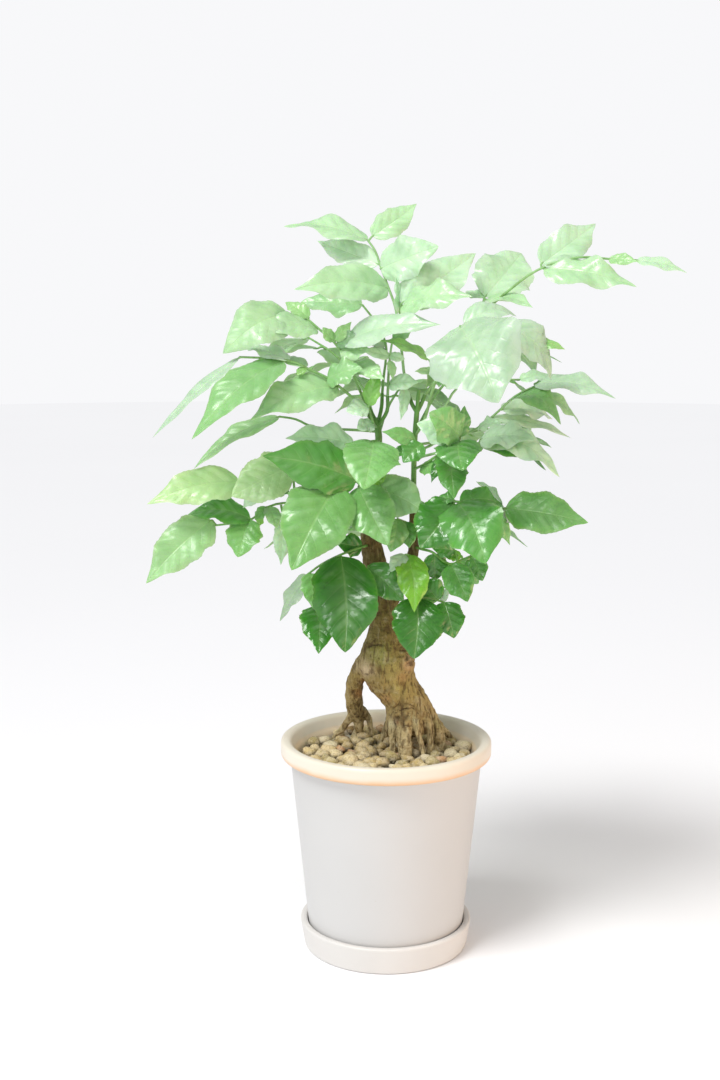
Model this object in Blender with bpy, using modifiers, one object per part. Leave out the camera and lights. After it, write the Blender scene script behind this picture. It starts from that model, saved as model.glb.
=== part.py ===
"""Potted heteropanax: a china doll tree with an arched root, grown in a ceramic pot.

The saucer stands on the origin, +Z is up and the front looks along -Y. The crown is a set of
leaf fronds on two green stems that rise from a woody trunk. Its leaves are placed from a
survey: each point is sighted from one station in front of the plant, so it is noted as the
place (x, z) where its sight line meets the upright plane through the pot's axis, with the
depth y at which it really lies. Survey figures are millimetres, everything else is metres.
"""

import math
import random

import bmesh
import bpy
from mathutils import Matrix, Vector

# Driving dimensions, in metres
RIM_RADIUS = 0.080
POT_TOP = 0.163
BAND_HEIGHT = 0.013
BODY_TOP_RADIUS = 0.0725
BODY_FOOT_RADIUS = 0.0592
POT_FOOT_RADIUS = 0.0560
POT_WALL = 0.0060
POT_FLOOR = 0.0070
FLOOR_BEND = 0.0040
FOOT_HEIGHT = 0.0110
RIM_WIDTH = 0.0068
RIM_EDGE = 0.0020
DRAIN_RADIUS = 0.0100
SAUCER_RADIUS = 0.0660
SAUCER_FOOT_RADIUS = 0.0625
SAUCER_HEIGHT = 0.0210
SAUCER_WALL = 0.0055
SAUCER_FLOOR = 0.0050
SAUCER_EDGE = 0.0015
SAUCER_FOOT_EDGE = 0.0020
SOIL_TOP = 0.1400
GRAVEL_TOP = 0.1490
GRAVEL_CROWN = 0.0020
GAP = 0.0003
ROUND_SIDES = 28
SOIL_SIDES = 20
GRAVEL_SIDES = 24

STONE_PITCH = 0.0175
STONE_RISE = 0.0050
STONE_SHOULDER = 0.0032
STONE_JITTER = 0.0021
STONE_SEED = 11
HEX_ROW = math.sqrt(3) / 2

ROOT_END = 0.1290
ROOT_CLEARANCE = 0.0008
ROOT_HOLE_SHARE = 1.05
ROOT_SPREAD = 0.3
ROOT_TAPER = 0.85
TRUNK_VOXEL = 0.0015
TRUNK_FACES = 900
SOCKET_DEPTH = 0.016
SOCKET_CLEARANCE = 0.00045

LEAF_THICKNESS = 0.0009
STALK_WIDTH = 0.0018
RIB_RADIUS = 0.0011
RIB_TIP_SHARE = 0.7
SMALL_LEAF_WIDTH = 0.0195
LARGE_LEAF_WIDTH = 0.0385

# The survey station, and the plane that its figures are noted in
MM = 0.001
STATION = Vector((-0.0198, -1.103, 0.4957))

# Blade outline: a curve of two powers, the tip's power and its pinch growing from a round leaf
# to a long one. The rows of a blade are noted as share of the length and points across.
BASE_POWER = 0.52
TIP_POWERS = (0.73, 0.92)
TIP_PINCHES = (0.26, 0.42)
PINCH_SPAN = (0.66, 0.94)
LONG_RATIOS = (1.3, 2.3)
LARGE_BLADE = ((0.12, 3), (0.40, 3), (0.70, 3), (0.90, 2))
MIDDLE_BLADE = ((0.17, 3), (0.54, 3), (0.85, 2))
SMALL_BLADE = ((0.30, 3), (0.76, 2))
BLADE_FOLD = 0.16
BLADE_WAVE = 0.045
STEEP_LEAF = 0.2

# Leaflets of the far-side fronds. A pair is noted by the rib point before it, its share of the
# way to the next point and its size.
FAR_PAIRS = ((-2, 0.45, 0.95), (-3, 0.75, 0.85))
FAR_LEAN = 0.45
FAR_DROOP = (-0.55, -0.15)
FAR_LENGTHS = (0.9, 1.05)
FAR_TILT = (0.1, 0.4)
FAR_STALK = 0.004
FAR_ARCH = 0.10

TONES = {
    "mint": (0.62, 0.84, 0.58),
    "pale": (0.46, 0.76, 0.34),
    "fresh": (0.24, 0.58, 0.14),
    "lime": (0.40, 0.66, 0.05),
    "mid": (0.10, 0.38, 0.07),
    "deep": (0.03, 0.20, 0.03),
    "grey": (0.42, 0.56, 0.40),
}

# Wood: rows of x, z, depth y and radius, from the top down
TRUNK = (
    (-8, 374, 2, 5.2), (-10, 350, 2, 6.0), (-12, 319, 1, 7.2), (-9, 300, 0, 8.6),
    (-6, 281, 0, 8.4), (-4, 265, 0, 9.2), (-2, 251, 0, 10.6), (-1.5, 243, 0, 13),
    (-1.2, 234, 0, 17), (-0.5, 224, 1, 20.5), (2.5, 213, 1, 19.8), (8.5, 202, 2, 16.2),
    (13.5, 194, 3, 15.5), (18.5, 185, 5, 16.2), (21, 175, 7, 14.5), (22, 168, 8, 12.5),
)
SIDE_LIMB = (
    (20, 352, -2, 4.2), (20.5, 330, 0, 3.8), (20, 306, 2, 4.0), (15, 290, 4, 4.2),
    (7, 274, 5, 5.0), (-1, 258, 3, 6.5),
)
ARCH_ROOT = (
    (-8, 224, 2, 12), (-16.5, 218, 6, 8.4), (-22.8, 208, 12, 6.5), (-24.4, 199, 20, 6.6),
    (-24, 190, 28, 6.6), (-22.2, 183, 34, 6.8),
)
ROOTS = (
    ((-22, 184, 34, 5.6), (-28, 177, 37, 3.0), (-33, 170, 40, 2.3), (-37, 166, 42, 2.1)),
    ((-21, 184, 34, 6), (-20.5, 174, 38, 3.8), (-20, 167, 42, 3.2), (-20, 162, 44, 2.8)),
    ((-19, 185, 33, 5), (-14, 178, 36, 2.5), (-12, 171, 37, 2.0), (-10, 164, 38, 1.8)),
    ((8, 190, 2, 8), (4.4, 182, -3, 5.2), (3.9, 174, -6, 4.0), (4.6, 164, -7, 3.1), (5, 152, -8, 2.5)),
    ((14, 186, 0, 9), (13.5, 174, -8, 6.6), (14, 162, -12, 5.8), (14.5, 150, -13.5, 5.2)),
    ((22, 186, 0, 7), (22.6, 176, -9, 3.2), (24.6, 165, -12, 2.3), (28.5, 151, -13, 2.0)),
    ((24, 188, 0, 6), (29.5, 182, -5, 3.0), (33, 175, -5, 2.4), (34, 165, -4, 2.3), (34, 154, -3, 2.3)),
    ((20, 196, 5, 8), (27, 189, 5, 7.0), (32.3, 181, 6, 5.8), (36.8, 172, 7, 5.1), (40, 163, 8, 4.6),
     (42, 153, 9, 4.2)),
    ((28, 184, 12, 7), (38, 174, 19, 3.4), (46, 166, 25, 2.6), (51.5, 160, 29, 2.2)),
    ((20, 184, 14, 9), (20, 172, 24, 5.4), (19, 163, 30, 4.2), (18, 159, 33, 3.6)),
    ((10, 186, 12, 8), (3, 174, 20, 4.4), (-1, 165, 25, 3.2), (-3, 160, 27, 2.7)),
)
KNOTS = (
    (7.5, 180, -7, 4.6), (22.5, 179.5, -8, 4.4), (9, 221, -5, 13), (-10.2, 208.5, -1, 3.2),
)

# Green stems: each is a list of shoots, the first one standing in the wood
STEMS = {
    "stem_left": (
        ((-8, 368, 2, 2.7), (-7, 380, 1, 2.7), (-6, 392, 0, 2.7), (-8.5, 406, -1, 2.6)),
        ((-8, 403, -1, 1.6), (-13, 413, -2, 1.5), (-18, 422, -3, 1.3)),
        ((-8, 401, -1, 1.5), (-16, 411, -8, 1.4), (-23, 419, -10, 1.3)),
        ((-7, 401, -1, 1.5), (-4, 414, 3, 1.4), (-3.5, 424, 5, 1.3)),
        ((-7, 400, -1, 1.5), (0, 411, -6, 1.4), (0.5, 422, -9, 1.3)),
    ),
    "stem_right": (
        ((20, 347, -2, 2.1), (20, 366, -4, 2.0), (20.5, 388, -5, 2.0), (22, 411, -7, 1.9)),
        ((22, 410, -7, 1.5), (18, 417, -7, 1.5), (16, 423, -7, 1.4)),
        ((22, 409, -7, 1.5), (22.6, 418, -9, 1.5), (23.4, 427, -10, 1.4)),
        ((22, 410, -7, 1.6), (25.5, 417, -7, 1.5), (28, 423, -7, 1.4)),
    ),
}

# Fronds. "ribs" are rows of x, z, y; the first rib starts at "from": the stem it springs from,
# "wood" where it stands in a socket of the trunk, or "shoot" where it goes on from a shoot's
# end. "leaves" are rows of base x, z; tip x, z, y; width; turn; arch; tone. A turn of 0 shows
# the leaf's face squarely to the survey station and 90 shows its edge, face up.
FRONDS = {
    "frond_top": {
        "from": "shoot",
        "ribs": (
            ((16, 423, -7), (13, 435, -7), (10.5, 456, -5), (8, 471, -4), (6, 486, -2),
             (1, 500, 1), (-5, 516, 5), (-9, 527, 8), (-14, 534, 10)),
            ((8, 471, -4), (9, 480, -10), (10, 489, -14)),
        ),
        "leaves": (
            (-11, 537, 21, 560, 22, 21, 15, 0.08, "pale"),
            (-14, 534, -75, 544, 28, 26, 62, 0.10, "pale"),
            (-5, 514, 37, 530, -20, 32, 22, 0.06, "mint"),
            (-6, 517, -51, 534, 38, 21, 20, 0.06, "mint"),
            (1, 500, -68, 499, -28, 30, 25, 0.08, "pale"),
            (10, 489, 64, 525, 8, 34, 15, 0.08, "pale"),
            (10, 487, 62, 494, -44, 29, 45, 0.10, "mint"),
            (9, 482, 6, 508, -14, 12, 50, 0.05, "mint"),
            (13, 430, 10, 404, -20, 9, 20, 0.05, "mint"),
        ),
    },
    "frond_upper_left": {
        "from": "shoot",
        "ribs": (
            ((-3.5, 424, 5), (-2.5, 436, 8), (-1, 448, 12), (-1, 460, 15), (-8, 475, 18),
             (-18, 488, 20)),
        ),
        "leaves": (
            (-18, 488, -63, 490, 26, 26, 44, 0.06, "fresh"),
            (-1, 459, -24, 463, 12, 11, 45, 0.08, "grey"),
            (-1, 454, -12, 457, 12, 8, 30, 0.05, "deep"),
        ),
    },
    "frond_centre_upper": {
        "from": "shoot",
        "ribs": (((0.5, 422, -9), (1, 436, -10), (2, 450, -11), (4, 464, -12)),),
        "leaves": (
            (4, 464, 18, 470, -14, 10, 10, 0.05, "fresh"),
            (2, 448, 4, 434, -16, 7, 20, 0.05, "pale"),
            (2, 451, -19, 456, -16, 9, 25, 0.05, "mint"),
            (2, 452, 13, 449, -14, 8, 25, 0.05, "mint"),
            (1, 430, 23, 432, -18, 14, 30, 0.08, "mint"),
        ),
    },
    "frond_right_top": {
        "from": "shoot",
        "ribs": (
            ((28, 423, -7), (36.5, 436, -8), (46, 455, -6), (66, 480, 1), (78, 490, 0),
             (90, 500, -4), (108.6, 513, -8), (137.5, 522, -12), (160, 521, -14),
             (180, 520, -16)),
            ((36.5, 436, -8), (33, 444, -10), (30.5, 449, -12)),
            ((66, 480, 1), (69.5, 489, 6), (70.5, 494, 9)),
        ),
        "leaves": (
            (71, 494, 97, 525, 46, 43, 12, 0.06, "mint"),
            (72, 492, 106, 486, -20, 18, 60, 0.10, "pale"),
            (70, 493, 57, 498, 24, 14, 58, 0.05, "mint"),
            (111, 517, 150, 546, 14, 28, 15, 0.08, "mint"),
            (113, 514, 181, 501, -30, 29, 42, 0.08, "pale"),
            (160, 521, 182, 519, -26, 10, 35, 0.05, "lime"),
            (180, 520, 217, 511, -24, 13, 52, 0.10, "mint"),
            (30.5, 449, -8, 463, -22, 11, 48, 0.14, "lime"),
            (35, 439, 20, 440, -16, 7, 30, 0.05, "pale"),
            (37, 436, 58, 430, -24, 18, 35, 0.10, "fresh"),
        ),
    },
    "frond_right_front": {
        "from": "stem_right",
        "ribs": (
            ((21, 393, -5.5), (27, 403, -14), (33, 425, -24), (38, 440, -32), (45, 458, -43),
             (53, 472, -54), (66, 476, -48), (79, 474, -42), (95, 467, -38), (108, 461, -36)),
        ),
        "leaves": (
            (53, 473, 82, 417, -112, 66, 0, 0.12, "pale"),
            (56, 474, 94, 480, -34, 24, 55, 0.20, "mint"),
            (80, 474, 120, 434, -36, 32, 52, 0.22, "mint"),
            (108, 461, 130, 456, -36, 10, 45, 0.10, "lime"),
        ),
    },
    "frond_right_inner": {
        "from": "stem_right",
        "ribs": (
            ((21.5, 400, -6), (32, 404, -9), (42, 414, -10), (51.5, 428, -9), (64, 433, -5),
             (97, 434, 4)),
        ),
        "leaves": ((97, 434, 120, 437, 8, 14, 55, 0.10, "mint"),),
    },
    "frond_right_mid": {
        "from": "stem_right",
        "ribs": (
            ((20.6, 386, -5), (34, 388, 0), (50, 391, 5), (66.6, 398.5, 8), (82, 411, 6),
             (94, 422, 4), (110, 430, 0)),
        ),
        "leaves": (
            (108, 431, 168, 420, -22, 24, 54, 0.10, "mint"),
            (89, 418, 128, 401, -22, 26, 55, 0.28, "fresh"),
            (100, 425, 142, 401, 24, 16, 58, 0.15, "pale"),
            (84, 412, 122, 405, 30, 22, 60, 0.10, "mint"),
            (76, 406, 136, 391, 16, 16, 60, 0.08, "mint"),
            (67, 399, 84, 402, -4, 14, 50, 0.10, "mint"),
        ),
    },
    "frond_right_k": {
        "from": "stem_right",
        "ribs": (((20.3, 376, -4.5), (36, 380, -12), (52, 384, -15), (69, 388, -14)),),
        "leaves": (
            (69, 390, 109, 390, -32, 28, 50, 0.12, "mint"),
            (69, 388, 128, 362, -24, 29, 50, 0.20, "mint"),
            (68, 386, 118, 367, 0, 24, 62, 0.12, "mid"),
        ),
    },
    "frond_centre_right": {
        "from": "stem_right",
        "ribs": (((20.1, 368, -4), (28, 372, -18), (38, 379, -30), (52, 389, -42)),),
        "leaves": (
            (50, 391, 22, 402, -48, 23, 30, 0.08, "mint"),
            (54, 391, 31, 410, -60, 29, 25, 0.10, "fresh"),
            (54, 392, 57, 415, -40, 13, 30, 0.05, "mid"),
            (53, 389, 56, 367, -78, 33, 5, 0.08, "mid"),
            (47, 383, 50, 346, -64, 24, 12, 0.08, "mid"),
            (26, 371, 42, 365, -34, 14, 22, 0.10, "fresh"),
            (41, 378, 33, 358, -40, 9, 20, 0.05, "deep"),
        ),
    },
    "sprig_centre": {
        "from": "stem_right",
        "ribs": (((20.6, 391, -5), (21, 388, -15), (26, 387, -19)),),
        "leaves": (
            (21, 388, -4, 396, -24, 13, 22, 0.08, "fresh"),
            (26, 387, 12, 373, -28, 17, 15, 0.05, "mid"),
            (21, 387, 2, 374, -22, 9, 30, 0.05, "mid"),
        ),
    },
    "frond_left_upper": {
        "from": "shoot",
        "ribs": (
            ((-18, 422, -3), (-23, 433, -5), (-28, 445, -7), (-38.5, 461, -10), (-50, 471, -10),
             (-60, 479, -8), (-71, 482, -6)),
        ),
        "leaves": (
            (-71, 481, -120, 453, -30, 36, 22, 0.24, "pale"),
            (-51, 471, -91, 468, -30, 26, 48, 0.10, "pale"),
            (-57, 479, -74, 490, 2, 13, 30, 0.10, "lime"),
            (-39, 462, -47, 472, -12, 9, 20, 0.05, "lime"),
            (-38, 462, -26, 476, -8, 10, 28, 0.05, "lime"),
            (-37, 460, -18, 466, -16, 13, 30, 0.05, "deep"),
            (-34, 456, -12, 455, -23, 17, 34, 0.06, "pale"),
            (-32, 461, 39, 474, -42, 28, 46, 0.08, "mint"),
            (-27, 444, -2, 434, -31, 18, 36, 0.08, "pale"),
        ),
    },
    "frond_left_long": {
        "from": "shoot",
        "ribs": (
            ((-23, 419, -10), (-35, 429, -15), (-45, 436, -18), (-56, 441, -21), (-66, 446, -23),
             (-80, 449, -25), (-108, 450.5, -26)),
        ),
        "leaves": (
            (-108, 450, -173, 391, -42, 16, 62, 0.05, "mint"),
            (-76, 448, -144, 390, -64, 34, 42, 0.13, "fresh"),
            (-36, 429, -101, 404, -54, 32, 35, 0.08, "fresh"),
            (-60, 443, -87, 453, 4, 20, 70, 0.05, "pale"),
            (-60, 443, -66, 437, -26, 7, 30, 0.05, "lime"),
            (-44, 435, -18, 442, -30, 23, 38, 0.08, "mid"),
            (-72, 448, -105, 459, -4, 22, 65, 0.05, "mint"),
        ),
    },
    "frond_left_wavy": {
        "from": "stem_left",
        "ribs": (
            ((-6.5, 396, 0), (-20, 397, 3), (-40, 398, 6), (-56, 400, 5), (-67, 405, 2),
             (-79, 407, -1)),
        ),
        "leaves": ((-79, 407, -143, 368, -18, 18, 50, 0.08, "pale"),),
    },
    "frond_centre_left": {
        "from": "stem_left",
        "ribs": (((-6.5, 387, 0.5), (-8, 389, -13), (-16, 388, -14), (-24, 386, -13)),),
        "leaves": (
            (-10, 389, -17, 353, -68, 41, 0, 0.08, "fresh"),
            (-13, 388, -22, 384, -20, 8, 25, 0.05, "lime"),
            (-24, 386, -75, 391, -12, 28, 44, 0.08, "pale"),
        ),
    },
    "sprig_left": {
        "from": "stem_left",
        "ribs": (((-7.5, 399, -0.5), (-10, 402, -12), (-12, 409, -17), (-14, 415, -19)),),
        "leaves": (
            (-10, 402, -22, 398, -22, 13, 28, 0.05, "mint"),
            (-14, 414, -30, 411, -26, 16, 32, 0.08, "mint"),
            (-13, 415, -5, 440, -19, 13, 22, 0.08, "lime"),
        ),
    },
    "frond_left_broad": {
        "from": "wood",
        "ribs": (
            ((-10.5, 350, 1), (-12, 352, -12), (-16, 356, -17), (-22, 359, -22), (-30, 358, -25),
             (-38, 354, -26), (-55, 352, -19), (-75, 351, -13), (-108, 358, -13)),
        ),
        "leaves": (
            (-22, 360, -92, 378, -48, 37, 12, 0.05, "mid"),
            (-36, 356, -71, 292, -80, 50, 6, 0.08, "fresh"),
            (-21, 355, 1, 311, -56, 36, 5, 0.08, "fresh"),
            (-12, 355, 28, 336, -28, 32, 22, 0.05, "pale"),
            (-12, 356, 1, 366, -20, 9, 20, 0.05, "lime"),
            (-108, 358, -178, 342, -32, 30, 26, 0.08, "pale"),
            (-70, 371, -115, 348, -28, 35, 14, 0.05, "mint"),
            (-73, 350, -96, 349, -2, 17, 70, 0.10, "mid"),
            (-93, 353, -107, 339, -12, 10, 20, 0.10, "mint"),
        ),
    },
    "frond_left_low": {
        "from": "wood",
        "ribs": (
            ((-12, 325, 1), (-24, 331, 11), (-40, 337, 13), (-70, 343, 7), (-88, 340, 0),
             (-100, 331, -6), (-128, 326, -12)),
        ),
        "leaves": (
            (-101, 331, -148, 334, -14, 24, 38, 0.14, "mid"),
            (-103, 331, -111, 302, -24, 26, 10, 0.08, "fresh"),
            (-130, 330, -180, 282, -36, 33, 12, 0.10, "pale"),
            (-88, 340, -82, 324, -12, 13, 20, 0.10, "pale"),
            (-89, 340, -98, 330, -8, 9, 20, 0.05, "fresh"),
            (-92, 336, -96, 325, 4, 8, 40, 0.05, "lime"),
            (-77, 330, -79, 296, -4, 14, 12, 0.05, "mint"),
        ),
    },
    "frond_left_drop": {
        "from": "wood",
        "ribs": (
            ((-12.5, 311, 1), (-18, 310, -12), (-34, 304, -25), (-48, 297, -21), (-59, 289, -15)),
        ),
        "leaves": (
            (-34, 303, -31, 229, -58, 48, 5, 0.08, "deep"),
            (-49, 265, -51, 228, -62, 29, 0, 0.10, "mid"),
            (-57, 290, -54, 262, -34, 18, 12, 0.08, "fresh"),
            (-59, 289, -80, 253, -18, 18, 50, 0.06, "grey"),
            (-18, 310, -37, 313, -18, 17, 15, 0.06, "deep"),
        ),
    },
    "frond_right_low": {
        "from": "wood",
        "ribs": (
            ((20.4, 332, 0), (27, 335, -14), (38, 340, -27), (51, 344, -38), (66, 341, -32),
             (80, 338, -26), (88, 339, -24)),
        ),
        "leaves": (
            (50, 343, 25, 309, -62, 38, 8, 0.08, "mid"),
            (53, 343, 74, 297, -78, 44, 8, 0.10, "fresh"),
            (54, 344, 87, 340, -24, 24, 48, 0.16, "mid"),
            (86, 340, 66, 359, -10, 16, 112, 0.10, "mint"),
            (50, 345, 38, 347, -34, 12, 45, 0.10, "mid"),
            (88, 339, 150, 328, -42, 32, 20, 0.06, "fresh"),
            (85, 338, 96, 327, -18, 10, 40, 0.05, "grey"),
            (82, 337, 92, 311, -20, 10, 20, 0.05, "fresh"),
        ),
    },
    "sprig_right": {
        "from": "wood",
        "ribs": (
            ((20.2, 310, 2), (27, 308, -9), (34, 306, -14), (47, 297, -18), (56, 300, -13),
             (63, 303, -9)),
        ),
        "leaves": (
            (36, 305, 37, 285, -10, 19, 5, 0.08, "deep"),
            (48, 297, 61, 268, -34, 23, 8, 0.08, "mid"),
            (54, 299, 69, 282, -4, 18, 18, 0.05, "mid"),
            (51, 307, 34, 309, -20, 14, 10, 0.10, "deep"),
            (56, 303, 43, 303, -12, 9, 20, 0.05, "lime"),
            (63, 303, 72, 284, -20, 16, 10, 0.05, "mid"),
        ),
    },
    "frond_right_drop": {
        "from": "wood",
        "ribs": (
            ((-5, 281, 0), (6, 281, -13), (14, 278, -18), (23, 272, -22), (32, 271, -19),
             (42, 268, -17)),
        ),
        "leaves": (
            (23, 271, 21, 224, -46, 38, 5, 0.10, "deep"),
            (39, 269, 25, 285, -12, 22, 10, 0.08, "deep"),
            (43, 268, 51, 240, -30, 24, 18, 0.10, "deep"),
            (42, 268, 46, 279, -14, 7, 20, 0.05, "grey"),
        ),
    },
    "leaf_trunk": {
        "from": "wood",
        "ribs": (((-8, 296, 0), (-10, 297, -12), (-14, 295, -15)),),
        "leaves": ((-14, 295, 13, 269, -27, 25, 5, 0.04, "mid"),),
    },
    "leaf_lime": {
        "from": "wood",
        "ribs": (((19.6, 302, 2), (18, 303, -8), (15, 304, -13)),),
        "leaves": (
            (16, 304, 21, 260, -40, 24, 5, 0.10, "lime"),
            (14, 304, 3, 291, -26, 12, 20, 0.05, "mint"),
        ),
    },
    "sprig_middle": {
        "from": "wood",
        "ribs": (((20.4, 324, 0.5), (15, 328, -9), (8, 331, -14)),),
        "leaves": (
            (8, 331, 3, 306, -24, 18, 8, 0.08, "fresh"),
            (14, 329, 17, 309, -20, 14, 8, 0.05, "mid"),
        ),
    },
}

# Fronds of the far side: origin, rib rows, leaflet length, width and seed; their leaflets
# are set out in pairs by a rule
FAR_FRONDS = {
    "far_frond_1": (
        "stem_left", ((-7, 398, 0), (-18, 428, 40), (-38, 452, 78), (-58, 465, 108)), 66, 31, 3),
    "far_frond_2": (
        "stem_left", ((-6.4, 392, 0), (0, 412, 36), (8, 426, 72), (12, 432, 100)), 64, 30, 5),
    "far_frond_3": (
        "stem_right", ((21, 396, -5.5), (38, 426, 30), (62, 450, 66), (80, 462, 96)), 66, 30, 8),
    "far_frond_4": (
        "stem_right", ((20.4, 380, -4.5), (42, 390, 36), (64, 396, 74), (80, 402, 104)), 58, 29, 2),
    "far_frond_5": (
        "wood", ((-10.5, 356, 2), (-26, 366, 36), (-46, 372, 74), (-60, 376, 104)), 66, 32, 4),
    "far_frond_6": (
        "wood", ((-11, 318, 1), (-20, 322, 40), (-38, 322, 74), (-54, 317, 96)), 56, 28, 9),
    "far_frond_7": (
        "wood", ((20.4, 338, 0), (36, 334, 36), (50, 330, 68), (60, 326, 92)), 56, 29, 6),
    "far_frond_8": (
        "wood", ((-11, 338, 1), (-8, 345, 44), (-6, 350, 82), (-6, 351, 108)), 60, 30, 7),
}


def sight(x, z, y):
    """The point at depth y on the sight line through (x, z), all in millimetres."""
    noted = Vector((x * MM, 0.0, z * MM))
    reach = (y * MM - STATION.y) / -STATION.y
    return STATION + (noted - STATION) * reach


def new_collection(name):
    collection = bpy.data.collections.new(name)
    bpy.context.scene.collection.children.link(collection)
    return collection


def material(name, colour, roughness):
    made = bpy.data.materials.new(name)
    made.use_nodes = True
    shader = made.node_tree.nodes["Principled BSDF"]
    shader.inputs["Base Color"].default_value = (*colour, 1.0)
    shader.inputs["Roughness"].default_value = roughness
    shader.inputs["Metallic"].default_value = 0.0
    made.diffuse_color = (*colour, 1.0)
    return made


def add_object(name, mesh, collection):
    item = bpy.data.objects.new(name, mesh)
    collection.objects.link(item)
    return item


def as_cutter(item):
    item.hide_render = True
    item.display_type = "WIRE"
    return item


def apply_modifiers(item):
    """Swap an object's mesh for the mesh that its modifiers make."""
    graph = bpy.context.evaluated_depsgraph_get()
    graph.update()
    made = bpy.data.meshes.new_from_object(item.evaluated_get(graph))
    item.modifiers.clear()
    item.data = made


def remove_objects(items):
    for item in list(items):
        bpy.data.objects.remove(item, do_unlink=True)


def boolean(item, operation, other, solver="EXACT"):
    """Cut an object by another object, or join it with all those of a collection."""
    step = item.modifiers.new(operation.lower(), "BOOLEAN")
    step.operation = operation
    step.solver = solver
    if isinstance(other, bpy.types.Collection):
        step.operand_type = "COLLECTION"
        step.collection = other
    else:
        step.object = other


def turned(name, profile, sides, closed, collection):
    """A body turned about the Z axis from a profile of (radius, height) points."""
    bm = bmesh.new()
    points = [bm.verts.new((radius, 0.0, height)) for radius, height in profile]
    for first, second in zip(points, points[1:]):
        bm.edges.new((first, second))
    if closed:
        bm.edges.new((points[-1], points[0]))
    mesh = bpy.data.meshes.new(name)
    bm.to_mesh(mesh)
    bm.free()
    item = add_object(name, mesh, collection)
    screw = item.modifiers.new("turn", "SCREW")
    screw.steps = sides
    screw.render_steps = sides
    screw.use_merge_vertices = True
    screw.merge_threshold = 0.00001
    return item


def tube(name, points, radii, resolution, collection):
    """A capped tube through the points, as a closed mesh with 4 + 2 * resolution sides."""
    curve = bpy.data.curves.new(name, "CURVE")
    curve.dimensions = "3D"
    curve.bevel_depth = 1.0
    curve.bevel_resolution = resolution
    curve.use_fill_caps = True
    spline = curve.splines.new("POLY")
    spline.points.add(len(points) - 1)
    for knot, place, radius in zip(spline.points, points, radii):
        knot.co = (*place, 1.0)
        knot.radius = radius
    wire = add_object(name + "_wire", curve, collection)
    graph = bpy.context.evaluated_depsgraph_get()
    graph.update()
    mesh = bpy.data.meshes.new_from_object(wire.evaluated_get(graph))
    bpy.data.objects.remove(wire, do_unlink=True)
    bm = bmesh.new()
    bm.from_mesh(mesh)
    bmesh.ops.remove_doubles(bm, verts=bm.verts, dist=0.00001)
    bm.to_mesh(mesh)
    bm.free()
    return add_object(name, mesh, collection)


def limb_points(rows):
    places = [sight(x, z, y) for x, z, y, radius in rows]
    radii = [row[3] * MM for row in rows]
    return places, radii


def root_points(rows):
    """A root's points, run on below the gravel to its end in the soil."""
    places, radii = limb_points(rows)
    heading = places[-1] - places[-2]
    run = (places[-1].z - ROOT_END) / -heading.z if heading.z < 0 else 1.0
    last = places[-1] + Vector((heading.x, heading.y, 0.0)) * min(run, 1.0) * ROOT_SPREAD
    last.z = ROOT_END
    places.append(last)
    radii.append(radii[-1] * ROOT_TAPER)
    return places, radii


def add_saucer(parts):
    top = SAUCER_HEIGHT
    inner = SAUCER_RADIUS - SAUCER_WALL
    profile = (
        (0.0, SAUCER_FLOOR), (inner - 2 * SAUCER_EDGE, SAUCER_FLOOR),
        (inner - SAUCER_EDGE, SAUCER_FLOOR + SAUCER_EDGE), (inner, top - SAUCER_EDGE),
        (inner + SAUCER_EDGE, top), (SAUCER_RADIUS - SAUCER_EDGE, top),
        (SAUCER_RADIUS, top - SAUCER_EDGE), (SAUCER_FOOT_RADIUS, SAUCER_FOOT_EDGE),
        (SAUCER_FOOT_RADIUS - SAUCER_FOOT_EDGE, 0.0), (0.0, 0.0),
    )
    saucer = turned("saucer", profile, ROUND_SIDES, False, parts)
    saucer.data.materials.append(material("saucer_white", (0.88, 0.87, 0.84), 0.5))


def wall_radius(height):
    """The pot's inner radius at a height between its floor and its band."""
    low = SAUCER_FLOOR + GAP + POT_FLOOR
    high = POT_TOP - BAND_HEIGHT
    share = (height - low) / (high - low)
    return BODY_FOOT_RADIUS + (BODY_TOP_RADIUS - BODY_FOOT_RADIUS) * share - POT_WALL


def add_pot(parts):
    foot = SAUCER_FLOOR + GAP
    floor = foot + POT_FLOOR
    bend = floor + FLOOR_BEND
    band = POT_TOP - BAND_HEIGHT
    profile = (
        (DRAIN_RADIUS, floor), (wall_radius(floor) - FLOOR_BEND, floor), (wall_radius(bend), bend),
        (wall_radius(band - RIM_EDGE), band - RIM_EDGE),
        (RIM_RADIUS - RIM_WIDTH, POT_TOP - RIM_EDGE), (RIM_RADIUS - RIM_WIDTH + RIM_EDGE, POT_TOP),
        (RIM_RADIUS - RIM_EDGE, POT_TOP - RIM_EDGE / 4), (RIM_RADIUS, POT_TOP - BAND_HEIGHT * 0.4),
        (RIM_RADIUS - RIM_EDGE / 3, band + RIM_EDGE), (RIM_RADIUS - RIM_EDGE * 1.6, band),
        (BODY_TOP_RADIUS, band - RIM_EDGE), (BODY_FOOT_RADIUS, foot + FOOT_HEIGHT),
        (POT_FOOT_RADIUS, foot), (DRAIN_RADIUS, foot),
    )
    pot = turned("pot", profile, ROUND_SIDES, True, parts)
    pot.data.materials.append(material("pot_glaze", (0.86, 0.85, 0.82), 0.3))


def root_cutters(cutters):
    """The roots once more, a little fatter, to bore their holes in the soil and gravel."""
    made = []
    for index, rows in enumerate(ROOTS):
        places, radii = root_points(rows)
        places[-1].z -= ROOT_CLEARANCE
        fat = [radius * ROOT_HOLE_SHARE + ROOT_CLEARANCE for radius in radii]
        cutter = tube(f"root_hole_{index}", places, fat, 1, cutters)
        made.append(as_cutter(cutter))
    return made


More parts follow.
